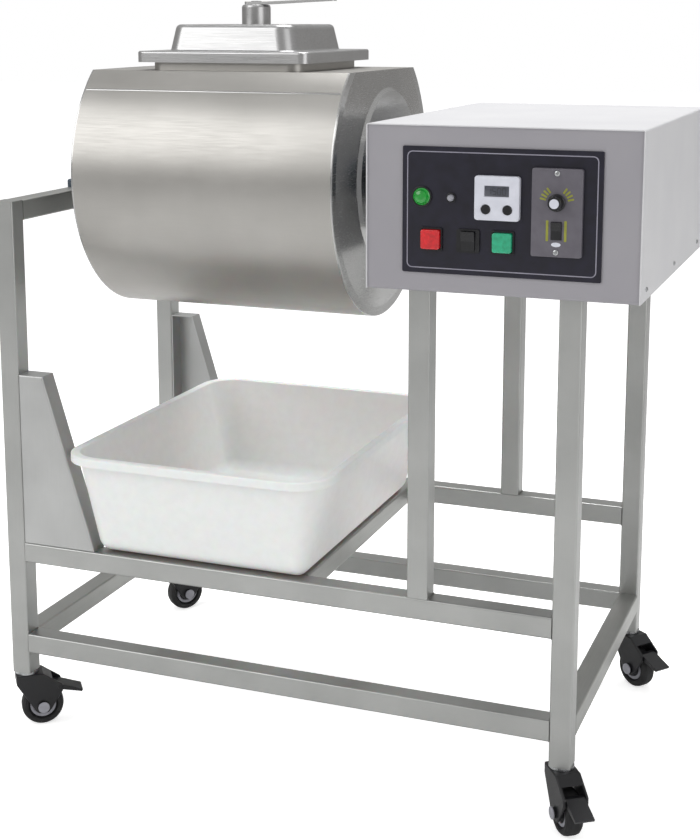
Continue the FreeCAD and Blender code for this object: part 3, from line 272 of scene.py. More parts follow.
@dataclass(frozen=True)
class CastIron:
    """Sand-cast iron, sprayed: a pebbled skin under thin paint."""

    name: str
    colour: str
    rubbed: str

    def build(self) -> bpy.types.Material:
        """Make the material: cast pebbles in the bump, rubbed paint in the colour."""
        material, shader = blank_material(self.name)
        tree = material.node_tree
        pebbles = grain(tree, (1.4, 1.4, 1.4), 4.0)
        tint = between(tree, spread(tree, pebbles, 0.0, 1.0), self.colour, self.rubbed)
        bump = add_node(tree, "ShaderNodeBump", {"Height": pebbles, "Strength": 0.6, "Distance": 0.15 * MM})
        shader.inputs["Roughness"].default_value = 0.5
        tree.links.new(tint, shader.inputs["Base Color"])
        tree.links.new(bump.outputs["Normal"], shader.inputs["Normal"])
        return material


@dataclass(frozen=True)
class Rubber:
    """Vulcanised rubber: dull, with a fine dust in its pores."""

    name: str
    colour: str
    dusty: str

    def build(self) -> bpy.types.Material:
        """Make the material: dust in the colour, pores in the bump."""
        material, shader = blank_material(self.name)
        tree = material.node_tree
        pores = grain(tree, (0.9, 0.9, 0.9), 3.0)
        dust = grain(tree, (9.0, 9.0, 9.0), 4.0)
        tint = between(tree, spread(tree, dust, 0.0, 1.0), self.colour, self.dusty)
        bump = add_node(tree, "ShaderNodeBump", {"Height": pores, "Strength": 0.3, "Distance": 0.05 * MM})
        shader.inputs["Roughness"].default_value = 0.62
        tree.links.new(tint, shader.inputs["Base Color"])
        tree.links.new(bump.outputs["Normal"], shader.inputs["Normal"])
        return material


@dataclass(frozen=True)
class ClearedPlastic:
    """Tinted polycarbonate, polished in the mould: a lens or a display window."""

    name: str
    colour: str
    deep: str
    roughness: float = 0.12
    glow: float = 0.0

    def build(self) -> bpy.types.Material:
        """Make the material: a slight flow pattern in the tint under a clear coat, and a glow in its own
        colour, which is the lamp's light and, on the stop and start caps, a painted glow.
        """
        material, shader = blank_material(self.name)
        tree = material.node_tree
        flow = grain(tree, (6.0, 6.0, 6.0), 2.0)
        tint = between(tree, spread(tree, flow, 0.0, 1.0), self.colour, self.deep)
        shader.inputs["Roughness"].default_value = self.roughness
        shader.inputs["IOR"].default_value = 1.58
        shader.inputs["Coat Weight"].default_value = 0.6
        shader.inputs["Emission Color"].default_value = linear(self.colour)
        shader.inputs["Emission Strength"].default_value = self.glow
        tree.links.new(tint, shader.inputs["Base Color"])
        return material


@dataclass(frozen=True)
class Finishes:
    """Every finish on the machine, each made once."""

    tube: BrushedStainless = BrushedStainless(
        "stainless tube, belt brushed", "#b4b5b3", "#a9aaa8", 0.36, Axis.Z)
    rail: BrushedStainless = BrushedStainless(
        "stainless rail, belt brushed", "#b4b5b3", "#a9aaa8", 0.36, Axis.X)
    crossrail: BrushedStainless = BrushedStainless(
        "stainless crossrail, belt brushed", "#b0b1ae", "#a5a6a3", 0.38, Axis.Y)
    gusset: BrushedStainless = BrushedStainless(
        "stainless gusset, folded", "#c3c4c3", "#b7b8b7", 0.42, Axis.Z)
    drum: BrushedStainless = BrushedStainless(
        "stainless drum sheet, rolled and brushed", "#b4b2ae", "#acaaa6", 0.37, Axis.X, 0.7, 0.005)
    head: BrushedStainless = BrushedStainless(
        "stainless drum head, pressed and polished", "#bbbbba", "#b3b3b2", 0.22, Axis.Y, 0.7, 0.005)
    lid: BrushedStainless = BrushedStainless(
        "stainless lid, pressed and polished", "#bcbcbc", "#b4b4b4", 0.3, Axis.X, 0.7, 0.005)
    shaft: BrushedStainless = BrushedStainless(
        "steel shaft, turned", "#55575a", "#4a4c4f", 0.34, Axis.X, 0.5)
    zinc: BrushedStainless = BrushedStainless(
        "zinc plated steel", "#bdbfc0", "#b0b2b3", 0.28, Axis.Z, 0.4)
    # painted shade and painted reflection: the front is the same powder coat as the cover, painted darker and
    # a little lilac for the shade on it and the blue it reflects
    box_front_painted_shade: PowderCoat = PowderCoat("box front, powder coated", "#9f9da2", "#9a989e")
    box_cover: PowderCoat = PowderCoat("box cover, powder coated", "#d6d6d8", "#d0d0d3")
    motor: PowderCoat = PowderCoat("motor, painted", "#5d6b78", "#55626f")
    fork: PowderCoat = PowderCoat("caster fork, black e-coat", "#121214", "#1c1c20", 0.33)
    film: MouldedPlastic = MouldedPlastic(
        "panel film, screen printed", "#100e1c", "#141226", 0.34, 1.2)
    black: MouldedPlastic = MouldedPlastic("black ABS", "#0d0d10", "#18181c", 0.3)
    white: MouldedPlastic = MouldedPlastic("white ABS", "#dcdee8", "#d2d4de", 0.32)
    grey: MouldedPlastic = MouldedPlastic("grey plate, printed", "#68656d", "#5f5c64", 0.4)
    tub: MouldedPlastic = MouldedPlastic(
        "white polyethylene tub", "#f4f6f5", "#f0f2f1", 0.4, 2.5, 0.35)
    gasket: Rubber = Rubber("silicone gasket", "#dedbd0", "#d2cfc4")
    tyre: Rubber = Rubber("caster tyre rubber", "#101011", "#1d1d1e")
    hub: MouldedPlastic = MouldedPlastic("caster hub, grey nylon", "#a5a5ad", "#96969e", 0.38)
    iron: CastIron = CastIron("bearing housing, cast iron", "#46525f", "#3b4651")
    # painted glow: the stop and start caps are no lamps, and their small emission stands in for light in the
    # clear plastic
    red: ClearedPlastic = ClearedPlastic("stop cap, red polycarbonate", "#d1101a", "#a00c14", 0.2, 0.15)
    green: ClearedPlastic = ClearedPlastic("start cap, green polycarbonate", "#1fa57b", "#148a63", 0.2, 0.15)
    lamp: ClearedPlastic = ClearedPlastic("lamp lens, green", "#12922f", "#0c7524", 0.15, 0.2)
    display: ClearedPlastic = ClearedPlastic("display window", "#50535c", "#484b54", 0.1)
    digit: MouldedPlastic = MouldedPlastic("display digits, dark", "#1d1f24", "#24262c", 0.4)
    ink: MouldedPlastic = MouldedPlastic("white ink, screen printed", "#9a98a6", "#8a8896", 0.5)
    yellow: MouldedPlastic = MouldedPlastic("yellow-green ink, screen printed", "#9a9c3c", "#8a8c34", 0.5)
    weld: BrushedStainless = BrushedStainless(
        "weld bead, wire brushed", "#9a9a97", "#8b8a86", 0.42, Axis.Y, 0.6, 0.05)


class Paintbox:
    """Keeps one material per finish and hands it out."""

    def __init__(self) -> None:
        """Start with no materials made."""
        self.finishes = Finishes()
        self.made: dict = {}

    def get(self, name: str) -> bpy.types.Material:
        """The material of a finish, made the first time it is asked for.

        Args:
            name: The finish's field name in Finishes.

        Returns:
            The material.
        """
        if name not in self.made:
            self.made[name] = getattr(self.finishes, name).build()
        return self.made[name]

    def dress(self, piece: bpy.types.Object, name: str) -> bpy.types.Object:
        """Give a whole piece one finish.

        Args:
            piece: The object to dress.
            name: The finish's field name in Finishes.

        Returns:
            The same object.
        """
        if not piece.material_slots:
            piece.data.materials.append(None)
        for place in piece.material_slots:
            place.material = self.get(name)
        return piece


paint = Paintbox()


class Bench:
    """The bench where new pieces are modelled: select, shape, finish and set in place."""

    @staticmethod
    def clear() -> None:
        """Deselect everything, so that an operator acts only on the new piece."""
        if bpy.context.object and bpy.context.object.mode != "OBJECT":
            bpy.ops.object.mode_set(mode="OBJECT")
        bpy.ops.object.select_all(action="DESELECT")

    @staticmethod
    def pick(piece: bpy.types.Object) -> None:
        """Select one piece alone and make it active."""
        Bench.clear()
        piece.select_set(True)
        bpy.context.view_layer.objects.active = piece

    @staticmethod
    def faces(piece: bpy.types.Object, test: Callable[[Vector, Vector], bool]) -> None:
        """Select the faces of the piece being edited that pass a test.

        Args:
            piece: The piece in edit mode.
            test: Takes a face's centre and normal, in the piece's own place.
        """
        bpy.ops.mesh.select_mode(type="FACE")
        bpy.ops.mesh.select_all(action="DESELECT")
        mesh = bmesh.from_edit_mesh(piece.data)
        for face in mesh.faces:
            face.select_set(test(face.calc_center_median(), face.normal))
        bmesh.update_edit_mesh(piece.data)

    @staticmethod
    def edges(piece: bpy.types.Object, test: Callable[[Vector, Vector], bool]) -> None:
        """Select the edges of the piece being edited that pass a test.

        Args:
            piece: The piece in edit mode.
            test: Takes an edge's middle and its direction, in the piece's own place.
        """
        bpy.ops.mesh.select_mode(type="EDGE")
        bpy.ops.mesh.select_all(action="DESELECT")
        mesh = bmesh.from_edit_mesh(piece.data)
        for edge in mesh.edges:
            first, second = (vertex.co for vertex in edge.verts)
            edge.select_set(test((first + second) / 2, (second - first).normalized()))
        bmesh.update_edit_mesh(piece.data)

    @staticmethod
    def settle(piece: bpy.types.Object, smooth: float = 35.0) -> bpy.types.Object:
        """Leave edit mode, put the object's origin at the machine's, and shade it.

        Args:
            piece: The piece to finish.
            smooth: Edges flatter than this many degrees are shaded smooth.

        Returns:
            The same piece.
        """
        if piece.mode != "OBJECT":
            bpy.ops.object.mode_set(mode="OBJECT")
        Bench.pick(piece)
        bpy.ops.object.transform_apply(location=True, rotation=True, scale=True)
        bpy.ops.object.shade_smooth_by_angle(angle=math.radians(smooth))
        return piece

    @staticmethod
    def turn_onto(piece: bpy.types.Object, axis: Axis, side: Side = Side.HIGH) -> None:
        """Turn a piece modelled facing +Z so that it faces along an axis.

        Args:
            piece: The piece, still at the world's origin.
            axis: The axis to face along.
            side: Which way along it.
        """
        target = axis.vector * side.value
        if axis is Axis.Y:
            turn = Matrix.Rotation(math.radians(-90.0 * side.value), 4, "X")
        else:
            turn = Vector((0, 0, 1)).rotation_difference(target).to_matrix().to_4x4()
        piece.data.transform(turn)

    @staticmethod
    def copy(piece: bpy.types.Object, name: str, place: Matrix) -> bpy.types.Object:
        """Copy a finished piece, with its own mesh moved by a matrix.

        Args:
            piece: The pattern piece.
            name: The copy's name.
            place: How the mesh is moved.

        Returns:
            The copy.
        """
        twin = bpy.data.objects.new(name, piece.data.copy())
        twin.data.transform(place)
        bpy.context.collection.objects.link(twin)
        return twin

    @staticmethod
    def discard(piece: bpy.types.Object) -> None:
        """Remove a pattern piece once its copies are made."""
        bpy.data.objects.remove(piece, do_unlink=True)

    @staticmethod
    def join(pieces: Sequence[bpy.types.Object], name: str) -> bpy.types.Object:
        """Join several pieces of one finish into one.

        Args:
            pieces: The pieces, the first of which keeps its finish.
            name: The joined piece's name.

        Returns:
            The joined piece.
        """
        Bench.clear()
        for piece in pieces:
            piece.select_set(True)
        bpy.context.view_layer.objects.active = pieces[0]
        bpy.ops.object.join()
        pieces[0].name = name
        return pieces[0]


def rounded_plate(name: str, width: float, height: float, thick: float, corner: float,
                  edge: float) -> bpy.types.Object:
    """Model a plate with round corners and a softened front edge, facing +Z from the origin.

    Args:
        name: The plate's name.
        width: Its size along X, in metres.
        height: Its size along Y.
        thick: Its thickness, above z = 0.
        corner: The radius of its corners.
        edge: The radius of its front edge, or 0.

    Returns:
        The plate.
    """
    Bench.clear()
    bpy.ops.mesh.primitive_cube_add(size=1, location=(0, 0, thick / 2))
    piece = bpy.context.object
    piece.name = name
    piece.scale = (width, height, thick)
    bpy.ops.object.transform_apply(location=True, rotation=True, scale=True)
    bpy.ops.object.mode_set(mode="EDIT")
    Bench.edges(piece, lambda _middle, run: abs(run.z) > 0.9)
    bpy.ops.mesh.bevel(offset=corner, segments=5, affect="EDGES")
    if edge > 0:
        Bench.edges(piece, lambda middle, run: middle.z > thick * 0.99 and abs(run.z) < 0.1)
        bpy.ops.mesh.bevel(offset=edge, segments=3, affect="EDGES")
    bpy.ops.object.mode_set(mode="OBJECT")
    return piece


def rounded_frame(name: str, width: float, height: float, line: float, thick: float,
                  corner: float) -> bpy.types.Object:
    """Model a thin raised line round a rectangle, facing +Z from the origin.

    Args:
        name: The line's name.
        width: Outer size along X, in metres.
        height: Outer size along Y.
        line: The width of the line.
        thick: How far it stands up.
        corner: The radius of its outer corners.

    Returns:
        The frame.
    """
    piece = rounded_plate(name, width, height, thick, corner, 0)
    bpy.ops.object.mode_set(mode="EDIT")
    Bench.faces(piece, lambda _centre, normal: abs(normal.z) > 0.9)
    bpy.ops.mesh.inset(thickness=line, use_individual=True)
    bpy.ops.mesh.bridge_edge_loops()
    bpy.ops.object.mode_set(mode="OBJECT")
    return piece


def turned_ring(name: str, inner: float, outer: float, low: float, high: float, edge: float,
                steps: int = 48) -> bpy.types.Object:
    """Spin a rounded section into a ring about +Z.

    Args:
        name: The ring's name.
        inner: Its bore radius, in metres.
        outer: Its outer radius.
        low: Where it starts along Z.
        high: Where it ends.
        edge: The rounding of the section's corners.
        steps: How many steps the spin has.

    Returns:
        The ring.
    """
    Bench.clear()
    bpy.ops.mesh.primitive_plane_add(size=1, location=(0, 0, 0))
    piece = bpy.context.object
    piece.name = name
    bpy.ops.object.mode_set(mode="EDIT")
    bpy.ops.mesh.select_all(action="SELECT")
    bpy.ops.transform.resize(value=(outer - inner, high - low, 1))
    bpy.ops.mesh.bevel(offset=edge, segments=3, affect="VERTICES")
    bpy.ops.object.mode_set(mode="OBJECT")
    stand = Matrix.Rotation(math.radians(90), 4, "X")
    piece.data.transform(Matrix.Translation(((inner + outer) / 2, 0, (low + high) / 2)) @ stand)
    bpy.ops.object.mode_set(mode="EDIT")
    bpy.ops.mesh.select_all(action="SELECT")
    bpy.ops.mesh.delete(type="ONLY_FACE")
    bpy.ops.mesh.select_all(action="SELECT")
    bpy.ops.mesh.spin(steps=steps, angle=math.tau, center=(0, 0, 0), axis=(0, 0, 1))
    bpy.ops.mesh.select_all(action="SELECT")
    bpy.ops.mesh.remove_doubles(threshold=0.01 * MM)
    bpy.ops.mesh.normals_make_consistent(inside=False)
    bpy.ops.object.mode_set(mode="OBJECT")
    return piece


def domed_disc(name: str, radius: float, height: float, steps: int = 32) -> bpy.types.Object:
    """Model a low dome on the origin facing +Z, as a button, a cap or a screw head starts.

    Args:
        name: The disc's name.
        radius: Its radius, in metres.
        height: How far the middle stands up.
        steps: How many sides it has.

    Returns:
        The disc.
    """
    Bench.clear()
    bpy.ops.mesh.primitive_cylinder_add(vertices=steps, radius=radius, depth=height * 0.6,
                                        location=(0, 0, height * 0.3))
    piece = bpy.context.object
    piece.name = name
    bpy.ops.object.transform_apply(location=True, rotation=True, scale=True)
    bpy.ops.object.mode_set(mode="EDIT")
    for inset, rise in ((0.2, 0.24), (0.3, 0.12), (0.25, 0.04)):
        Bench.faces(piece, lambda _centre, normal: normal.z > 0.99)
        bpy.ops.mesh.inset(thickness=radius * inset)
        bpy.ops.transform.translate(value=(0, 0, height * rise))
    bpy.ops.object.mode_set(mode="OBJECT")
    return piece


def cross_screw(name: str, radius: float, height: float) -> bpy.types.Object:
    """Model a pan head screw with a cross recess, facing +Z from the origin.

    Args:
        name: The screw's name.
        radius: The head's radius, in metres.
        height: The head's height.

    Returns:
        The screw head.
    """
    head = domed_disc(name, radius, height, 24)
    for turn in (0.0, 90.0):
        cutter = rounded_plate("recess", radius * 1.2, radius * 0.28, height, radius * 0.1, 0)
        spin = Matrix.Rotation(math.radians(turn), 4, "Z")
        cutter.data.transform(Matrix.Translation((0, 0, height * 0.45)) @ spin)
        Bench.pick(head)
        cut = head.modifiers.new("recess", "BOOLEAN")
        cut.operation = "DIFFERENCE"
        cut.solver = "EXACT"
        cut.object = cutter
        bpy.ops.object.modifier_apply(modifier="recess")
        Bench.discard(cutter)
    return head


def set_piece(piece: bpy.types.Object, spot: Sequence[float], axis: Axis, side: Side, finish: str,
              body: str) -> bpy.types.Object:
    """Turn a piece that faces +Z, put it in place, dress it and tell which body it rides on.

    Args:
        piece: The piece, modelled on the world's origin.
        spot: Where its origin goes, in metres.
        axis: The axis that it faces along.
        side: Which way along that axis.
        finish: The finish's field name in Finishes.
        body: The body that carries it.

    Returns:
        The same piece.
    """
    Bench.turn_onto(piece, axis, side)
    piece.data.transform(Matrix.Translation(Vector(spot)))
    Bench.settle(piece)
    paint.dress(piece, finish)
    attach(piece, body)
    log.info("%s on %s", piece.name, body)
    return piece


def middle(node: str) -> Vector:
    """The middle of a CAD node's box."""
    low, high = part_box(node)
    return (Vector(low) + Vector(high)) / 2


@dataclass
class Stand:
    """The square tube stand: brushed tubes, gussets and the weld beads where they meet."""

    tube: float = 30 * MM
    bead: float = 2.2 * MM
    ripples: int = 9
    tubes: Tuple[str, ...] = ("front_left_post", "rear_left_post", "front_middle_post", "rear_middle_post",
                              "front_right_post", "rear_right_post")

    def dress(self) -> None:
        """Give each tube a grain along its length."""
        for name in self.tubes:
            paint.dress(frame["nodes"][name], "tube")
        for name in ("upper_rails", "lower_rails"):
            paint.dress(frame["nodes"][name], "rail")
        for name in ("crossrails", "bearing_crossrail"):
            paint.dress(frame["nodes"][name], "crossrail")
        for name in ("front_gusset", "rear_gusset"):
            paint.dress(frame["nodes"][name], "gusset")
        paint.dress(frame["nodes"]["caster_stems"], "zinc")

    def bead_pattern(self) -> bpy.types.Object:
        """Model one rippled weld bead along X, as long as a tube is wide.

        Returns:
            The bead, centred on the origin.
        """
        Bench.clear()
        bpy.ops.mesh.primitive_cylinder_add(vertices=10, radius=self.bead * 0.55, depth=self.bead * 0.2,
                                            rotation=(0, math.radians(90), 0))
        piece = bpy.context.object
        piece.name = "weld_pattern"
        length = self.tube - 6 * MM
        piece.location.x = -length / 2
        bpy.ops.object.transform_apply(location=True, rotation=True, scale=True)
        bpy.ops.object.mode_set(mode="EDIT")
        step = length / (2 * self.ripples)
        for index in range(2 * self.ripples):
            Bench.faces(piece, lambda _centre, normal: normal.x > 0.99)
            bpy.ops.mesh.extrude_region_move(TRANSFORM_OT_translate={"value": (step, 0, 0)})
            swell = 1.45 if index % 2 == 0 else 1 / 1.45
            bpy.ops.transform.resize(value=(1, swell, swell))
        bpy.ops.object.mode_set(mode="OBJECT")
        return piece

    def build(self) -> None:
        """Lay a bead above and below each rail end, and beside the feet of the middle posts."""
        pattern = self.bead_pattern()
        beads = []
        for rails in ("upper_rails", "lower_rails"):
            low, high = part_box(rails)
            for y in (low[1] + self.tube / 2, high[1] - self.tube / 2):
                for x in (low[0], high[0]):
                    for z in (low[2], high[2]):
                        beads.append((Vector((x, y, z)), "Z"))
        for post in ("front_middle_post", "rear_middle_post"):
            low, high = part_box(post)
            for x in (low[0], high[0]):
                beads.append((Vector((x, (low[1] + high[1]) / 2, low[2])), "Z"))
        low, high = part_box("bearing_crossrail")
        for y in (low[1], high[1]):
            beads.append((Vector(((low[0] + high[0]) / 2, y, low[2])), "X"))
        pieces = []
        for spot, turn in beads:
            place = Matrix.Translation(spot)
            if turn == "Z":
                place = place @ Matrix.Rotation(math.radians(90), 4, "Z")
            pieces.append(Bench.copy(pattern, "weld", place))
        Bench.discard(pattern)
        welds = Bench.join(pieces, "weld_beads")
        Bench.settle(welds, 50)
        paint.dress(welds, "weld")
        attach(welds, "stand")
        log.info("%d weld beads", len(beads))


@dataclass
class Casters:
    """Four swivel casters: black forks, rubber tyres, grey hub rings and caps."""

    corners: Tuple[str, ...] = ("front_left", "front_right", "rear_right", "rear_left")
    ring_inner: float = 14.5 * MM
    ring_outer: float = 19.5 * MM
    cap_radius: float = 8.5 * MM
    wheel_half: float = 12 * MM

    def build(self) -> None:
        """Dress each caster's nodes and add its hub rings and caps."""
        for corner in self.corners:
            paint.dress(frame["nodes"][f"caster_fork_{corner}"], "fork")
            paint.dress(frame["nodes"][f"brake_pedal_{corner}"], "fork")
            paint.dress(frame["nodes"][f"caster_wheel_{corner}"], "tyre")
            self.hub(corner)

    def hub(self, corner: str) -> None:
        """Put a ring on each side of a wheel, and a cap over each end of its axle.

        Args:
            corner: Which caster.
        """
        joints = {joint["name"]: joint for joint in frame["joints"]}
        roll = joints[f"wheel_{corner}_roll"]
        centre, along = Vector(roll["pos_m"]), Vector(roll["axis"])
        turn = Vector((0, 0, 1)).rotation_difference(along).to_matrix().to_4x4()
        for side in Side:
            flip = Matrix.Identity(4) if side is Side.HIGH else Matrix.Rotation(math.pi, 4, "X")
            place = Matrix.Translation(centre) @ turn @ flip
            ring = turned_ring(f"hub_ring_{corner}_{side.name.lower()}", self.ring_inner, self.ring_outer,
                               self.wheel_half - 5 * MM, self.wheel_half - 2.2 * MM, 0.8 * MM, 32)
            self.fix(ring, place, "hub", f"wheel_{corner}")
            cap = domed_disc(f"axle_cap_{corner}_{side.name.lower()}", self.cap_radius, 2.4 * MM, 24)
            cap.data.transform(Matrix.Translation((0, 0, self.wheel_half + 9 * MM)))
            self.fix(cap, place, "hub", f"swivel_{corner}")

    @staticmethod
    def fix(piece: bpy.types.Object, place: Matrix, finish: str, body: str) -> None:
        """Set one wheel piece in place, dress it and let it ride."""
        piece.data.transform(place)
        Bench.settle(piece)
        paint.dress(piece, finish)
        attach(piece, body)
        log.info("%s on %s", piece.name, body)


@dataclass
class Drum:
    """The tumbling drum with its heads, shafts, hatch and lid."""

    seam_angle: float = 38.0
    seam_width: float = 3 * MM
    seam_rise: float = 0.5 * MM

    def dress(self) -> None:
        """Give the drum's nodes their finishes."""
        looks = {
            "drum": ("drum_shell", "hatch_neck", "drum_baffles"),
            "head": ("drum_head_left", "drum_head_right"),
            "lid": ("lid", "lid_hub", "lid_lever", "locking_bar"),
            "shaft": ("shaft_left", "shaft_right"),
            "zinc": ("shaft_bolts", "bearing_bolts"),
            "iron": ("bearing_left", "bearing_right"),
            "gasket": ("hatch_gasket",),
        }
        for finish, names in looks.items():
            for name in names:
                paint.dress(frame["nodes"][name], finish)

    def build(self) -> None:
        """Add the rolled seam along the shell and the nut on top of the hub."""
        self.seam()
        self.hub_nut()

    def seam(self) -> None:
        """Lay the shell's welded and ground seam, a low rounded ridge along X."""
        low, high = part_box("drum_shell")
        centre = Vector(((low[0] + high[0]) / 2, (low[1] + high[1]) / 2, 0))
        radius = (high[1] - low[1]) / 2
        centre.z = low[2] + radius
        seam = rounded_plate("drum_seam", high[0] - low[0] - 2 * MM, self.seam_width, 2 * self.seam_rise,
                             0.2 * MM, 0.4 * MM)
        tilt = Matrix.Rotation(math.radians(90 - self.seam_angle), 4, "X")
        place = Matrix.Translation(centre) @ tilt @ Matrix.Translation((0, 0, radius - self.seam_rise))
        seam.data.transform(place)
        Bench.settle(seam)
        paint.dress(seam, "head")
        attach(seam, "drum")
        log.info("drum seam laid")

    def hub_nut(self) -> None:
        """Cap the spindle with a domed nut over the lever."""
        low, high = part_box("lid_lever")
        hub = middle("lid_hub")
        nut = domed_disc("lever_nut", 8 * MM, 1.2 * MM, 6)
        top = low[2] + 4 * MM
        set_piece(nut, (hub.x, hub.y, top), Axis.Z, Side.HIGH, "zinc", "lid_lock")


@dataclass
class ControlBox:
    """The control box: coated sheet, screws, and the panel with its printed lines."""

    screw_radius: float = 3.2 * MM
    screw_height: float = 2.2 * MM
    border_inset: float = 6 * MM
    border_line: float = 1.3 * MM
    ink: float = 0.25 * MM
    ticks: int = 4
    tick_reach: float = 18 * MM
    lamp_radius: float = 11 * MM
    small_lamp_radius: float = 4 * MM
    glass_gap: float = 0.28 * MM
    glass_height: float = 8.2 * MM
    window: Tuple[float, float] = (31 * MM, 13 * MM)
    window_up: float = 9 * MM
    digit_pitch: float = 6.4 * MM
    knob_cap_radius: float = 6 * MM
    rocker_mark_drop: float = 17 * MM
    segment: Tuple[float, float] = (4.2 * MM, 0.9 * MM)
    digits: Tuple[int, ...] = (1, 5, 0, 0)

    def dress(self) -> None:
        """Give the box's nodes their finishes."""
        looks = {
            "box_cover": ("box_cover",),
            # the chassis front gets the cover's coat with painted shade and painted reflection in its colour
            "box_front_painted_shade": ("box_chassis",),
            "motor": ("gearbox", "motor"),
            "film": ("control_panel",),
            "black": ("switch_bezels", "power_rocker", "timer_key_left", "timer_key_right", "run_rocker",
                      "speed_knob", "cable_gland"),
            "white": ("timer_case",),
            "grey": ("controller_plate",),
            "red": ("stop_button",),
            "green": ("start_button",),
            "lamp": ("panel_lamps",),
        }
        for finish, names in looks.items():
            for name in names:
                paint.dress(frame["nodes"][name], finish)

    def build(self) -> None:
        """Add the screws, the printed border, the display and the controller's face."""
        self.cover_screws()
        self.border()
        self.lamp_rims()
        self.display()
        self.controller_face()

    def cover_screws(self) -> None:
        """Screw the cover to the chassis low on both sides."""
        low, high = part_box("box_cover")
        pattern = cross_screw("cover_screw", self.screw_radius, self.screw_height)
        heads = []
        inset = 40 * MM
        for side, x in ((Side.LOW, low[0]), (Side.HIGH, high[0])):
            for y in (low[1] + inset, (low[1] + high[1]) / 2, high[1] - inset):
                if side is Side.LOW and abs(y - (low[1] + high[1]) / 2) < MM:
                    continue
                turn = Vector((0, 0, 1)).rotation_difference(Vector((side.value, 0, 0))).to_matrix().to_4x4()
                place = Matrix.Translation((x, y, low[2] + 14 * MM)) @ turn
                heads.append(Bench.copy(pattern, "cover_screw_head", place))
        Bench.discard(pattern)
        screws = Bench.join(heads, "cover_screws")
        Bench.settle(screws, 40)
        paint.dress(screws, "zinc")
        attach(screws, "stand")
        log.info("cover screws set")

    def border(self) -> None:
        """Print the thin line inside the panel's edge."""
        low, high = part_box("control_panel")
        spot = ((low[0] + high[0]) / 2, low[1], (low[2] + high[2]) / 2)
        line = rounded_frame("panel_border", high[0] - low[0] - 2 * self.border_inset,
                             high[2] - low[2] - 2 * self.border_inset, self.border_line, self.ink, 7 * MM)
        set_piece(line, spot, Axis.Y, Side.LOW, "ink", "stand")

    def lamp_rims(self) -> None:
        """Put a black rim round each lamp, and a grey glass over the small one, which is unlit."""
        low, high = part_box("panel_lamps")
        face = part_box("control_panel")[0][1]
        height = (low[2] + high[2]) / 2
        big, small = self.lamp_radius, self.small_lamp_radius
        for name, x, radius in (("lamp_rim", low[0] + big, big), ("small_lamp_rim", high[0] - small, small)):
            rim = turned_ring(name, radius + 0.3 * MM, radius + 2.4 * MM, 0, 2.2 * MM, 0.7 * MM)
            set_piece(rim, (x, face, height), Axis.Y, Side.LOW, "black", "stand")
        glass = domed_disc("small_lamp_glass", small + self.glass_gap, self.glass_height, 24)
        set_piece(glass, (high[0] - small, face, height), Axis.Y, Side.LOW, "hub", "stand")

    def display(self) -> None:
        """Glaze the timer's display and set plain dark digits on it."""
        low, _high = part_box("timer_case")
        centre = middle("timer_case")
        window = rounded_plate("timer_window", *self.window, 0.8 * MM, 0.8 * MM, 0.2 * MM)
        spot = (centre.x, low[1] + 1.4 * MM, centre.z + self.window_up)
        set_piece(window, spot, Axis.Y, Side.LOW, "display", "stand")
        bars = []
        for place, digit in enumerate(self.digits):
            across = (place - 1.5) * self.digit_pitch
            bars.extend(self.digit_bars(digit, across))
        digits = Bench.join(bars, "timer_digits")
        set_piece(digits, (centre.x, low[1] + 0.6 * MM, centre.z + self.window_up), Axis.Y, Side.LOW, "digit",
                  "stand")

    def digit_bars(self, digit: int, across: float) -> Iterable[bpy.types.Object]:
        """Model one seven-bar digit.

        Args:
            digit: The number shown.
            across: Its middle along the display, in metres.

        Returns:
            The lit bars.
        """
        shown = {0: "abcdef", 1: "bc", 5: "afgcd"}[digit]
        long, thin = self.segment
        half = long / 2
        bars = {
            "a": (0, 2 * half, 0), "g": (0, 0, 0), "d": (0, -2 * half, 0), "f": (-half, half, 90),
            "b": (half, half, 90), "e": (-half, -half, 90), "c": (half, -half, 90),
        }
        pieces = []
        for letter in shown:
            x, y, turn = bars[letter]
            bar = rounded_plate("bar", long - 0.5 * MM, thin, 0.12 * MM, thin * 0.45, 0)
            place = Matrix.Translation((across + x, y, 0)) @ Matrix.Rotation(math.radians(turn), 4, "Z")
            bar.data.transform(place)
            pieces.append(bar)
        return pieces

    def controller_face(self) -> None:
        """Print the speed scale and the rocker's marks, cap the knob and screw the plate down."""
        low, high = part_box("controller_plate")
        face = low[1]
        centre = middle("controller_plate")
        knob = middle("speed_knob")
        marks = []
        for side in Side:
            for index in range(self.ticks):
                angle = math.radians(90 + side.value * (35 + 14 * index))
                tick = rounded_plate("tick", 8 * MM, 2.4 * MM, self.ink, 0.8 * MM, 0)
                across, up = self.tick_reach * math.cos(angle), self.tick_reach * math.sin(angle)
                place = Matrix.Translation((across, knob.z - centre.z + up, 0))
                tick.data.transform(place @ Matrix.Rotation(angle, 4, "Z"))
                marks.append(tick)
        rocker = middle("run_rocker")
        for side in Side:
            bar = rounded_plate("bar", 3.2 * MM, 26 * MM, self.ink, 1 * MM, 0)
            bar.data.transform(Matrix.Translation((side.value * 11.5 * MM, rocker.z - centre.z, 0)))
            marks.append(bar)
        scale = Bench.join(marks, "speed_scale")
        set_piece(scale, (centre.x, face, centre.z), Axis.Y, Side.LOW, "yellow", "stand")
        for name, z in (("plate_screw_top", high[2] - 6 * MM), ("plate_screw_low", low[2] + 6 * MM)):
            screw = cross_screw(name, 3.4 * MM, 2.0 * MM)
            set_piece(screw, (centre.x, face, z), Axis.Y, Side.LOW, "zinc", "stand")
        cap = domed_disc("knob_cap", self.knob_cap_radius, 1.2 * MM, 32)
        set_piece(cap, (knob.x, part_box("speed_knob")[0][1], knob.z), Axis.Y, Side.LOW, "white",
                  "speed")
        spot = domed_disc("rocker_mark", 4 * MM, 0.5 * MM, 24)
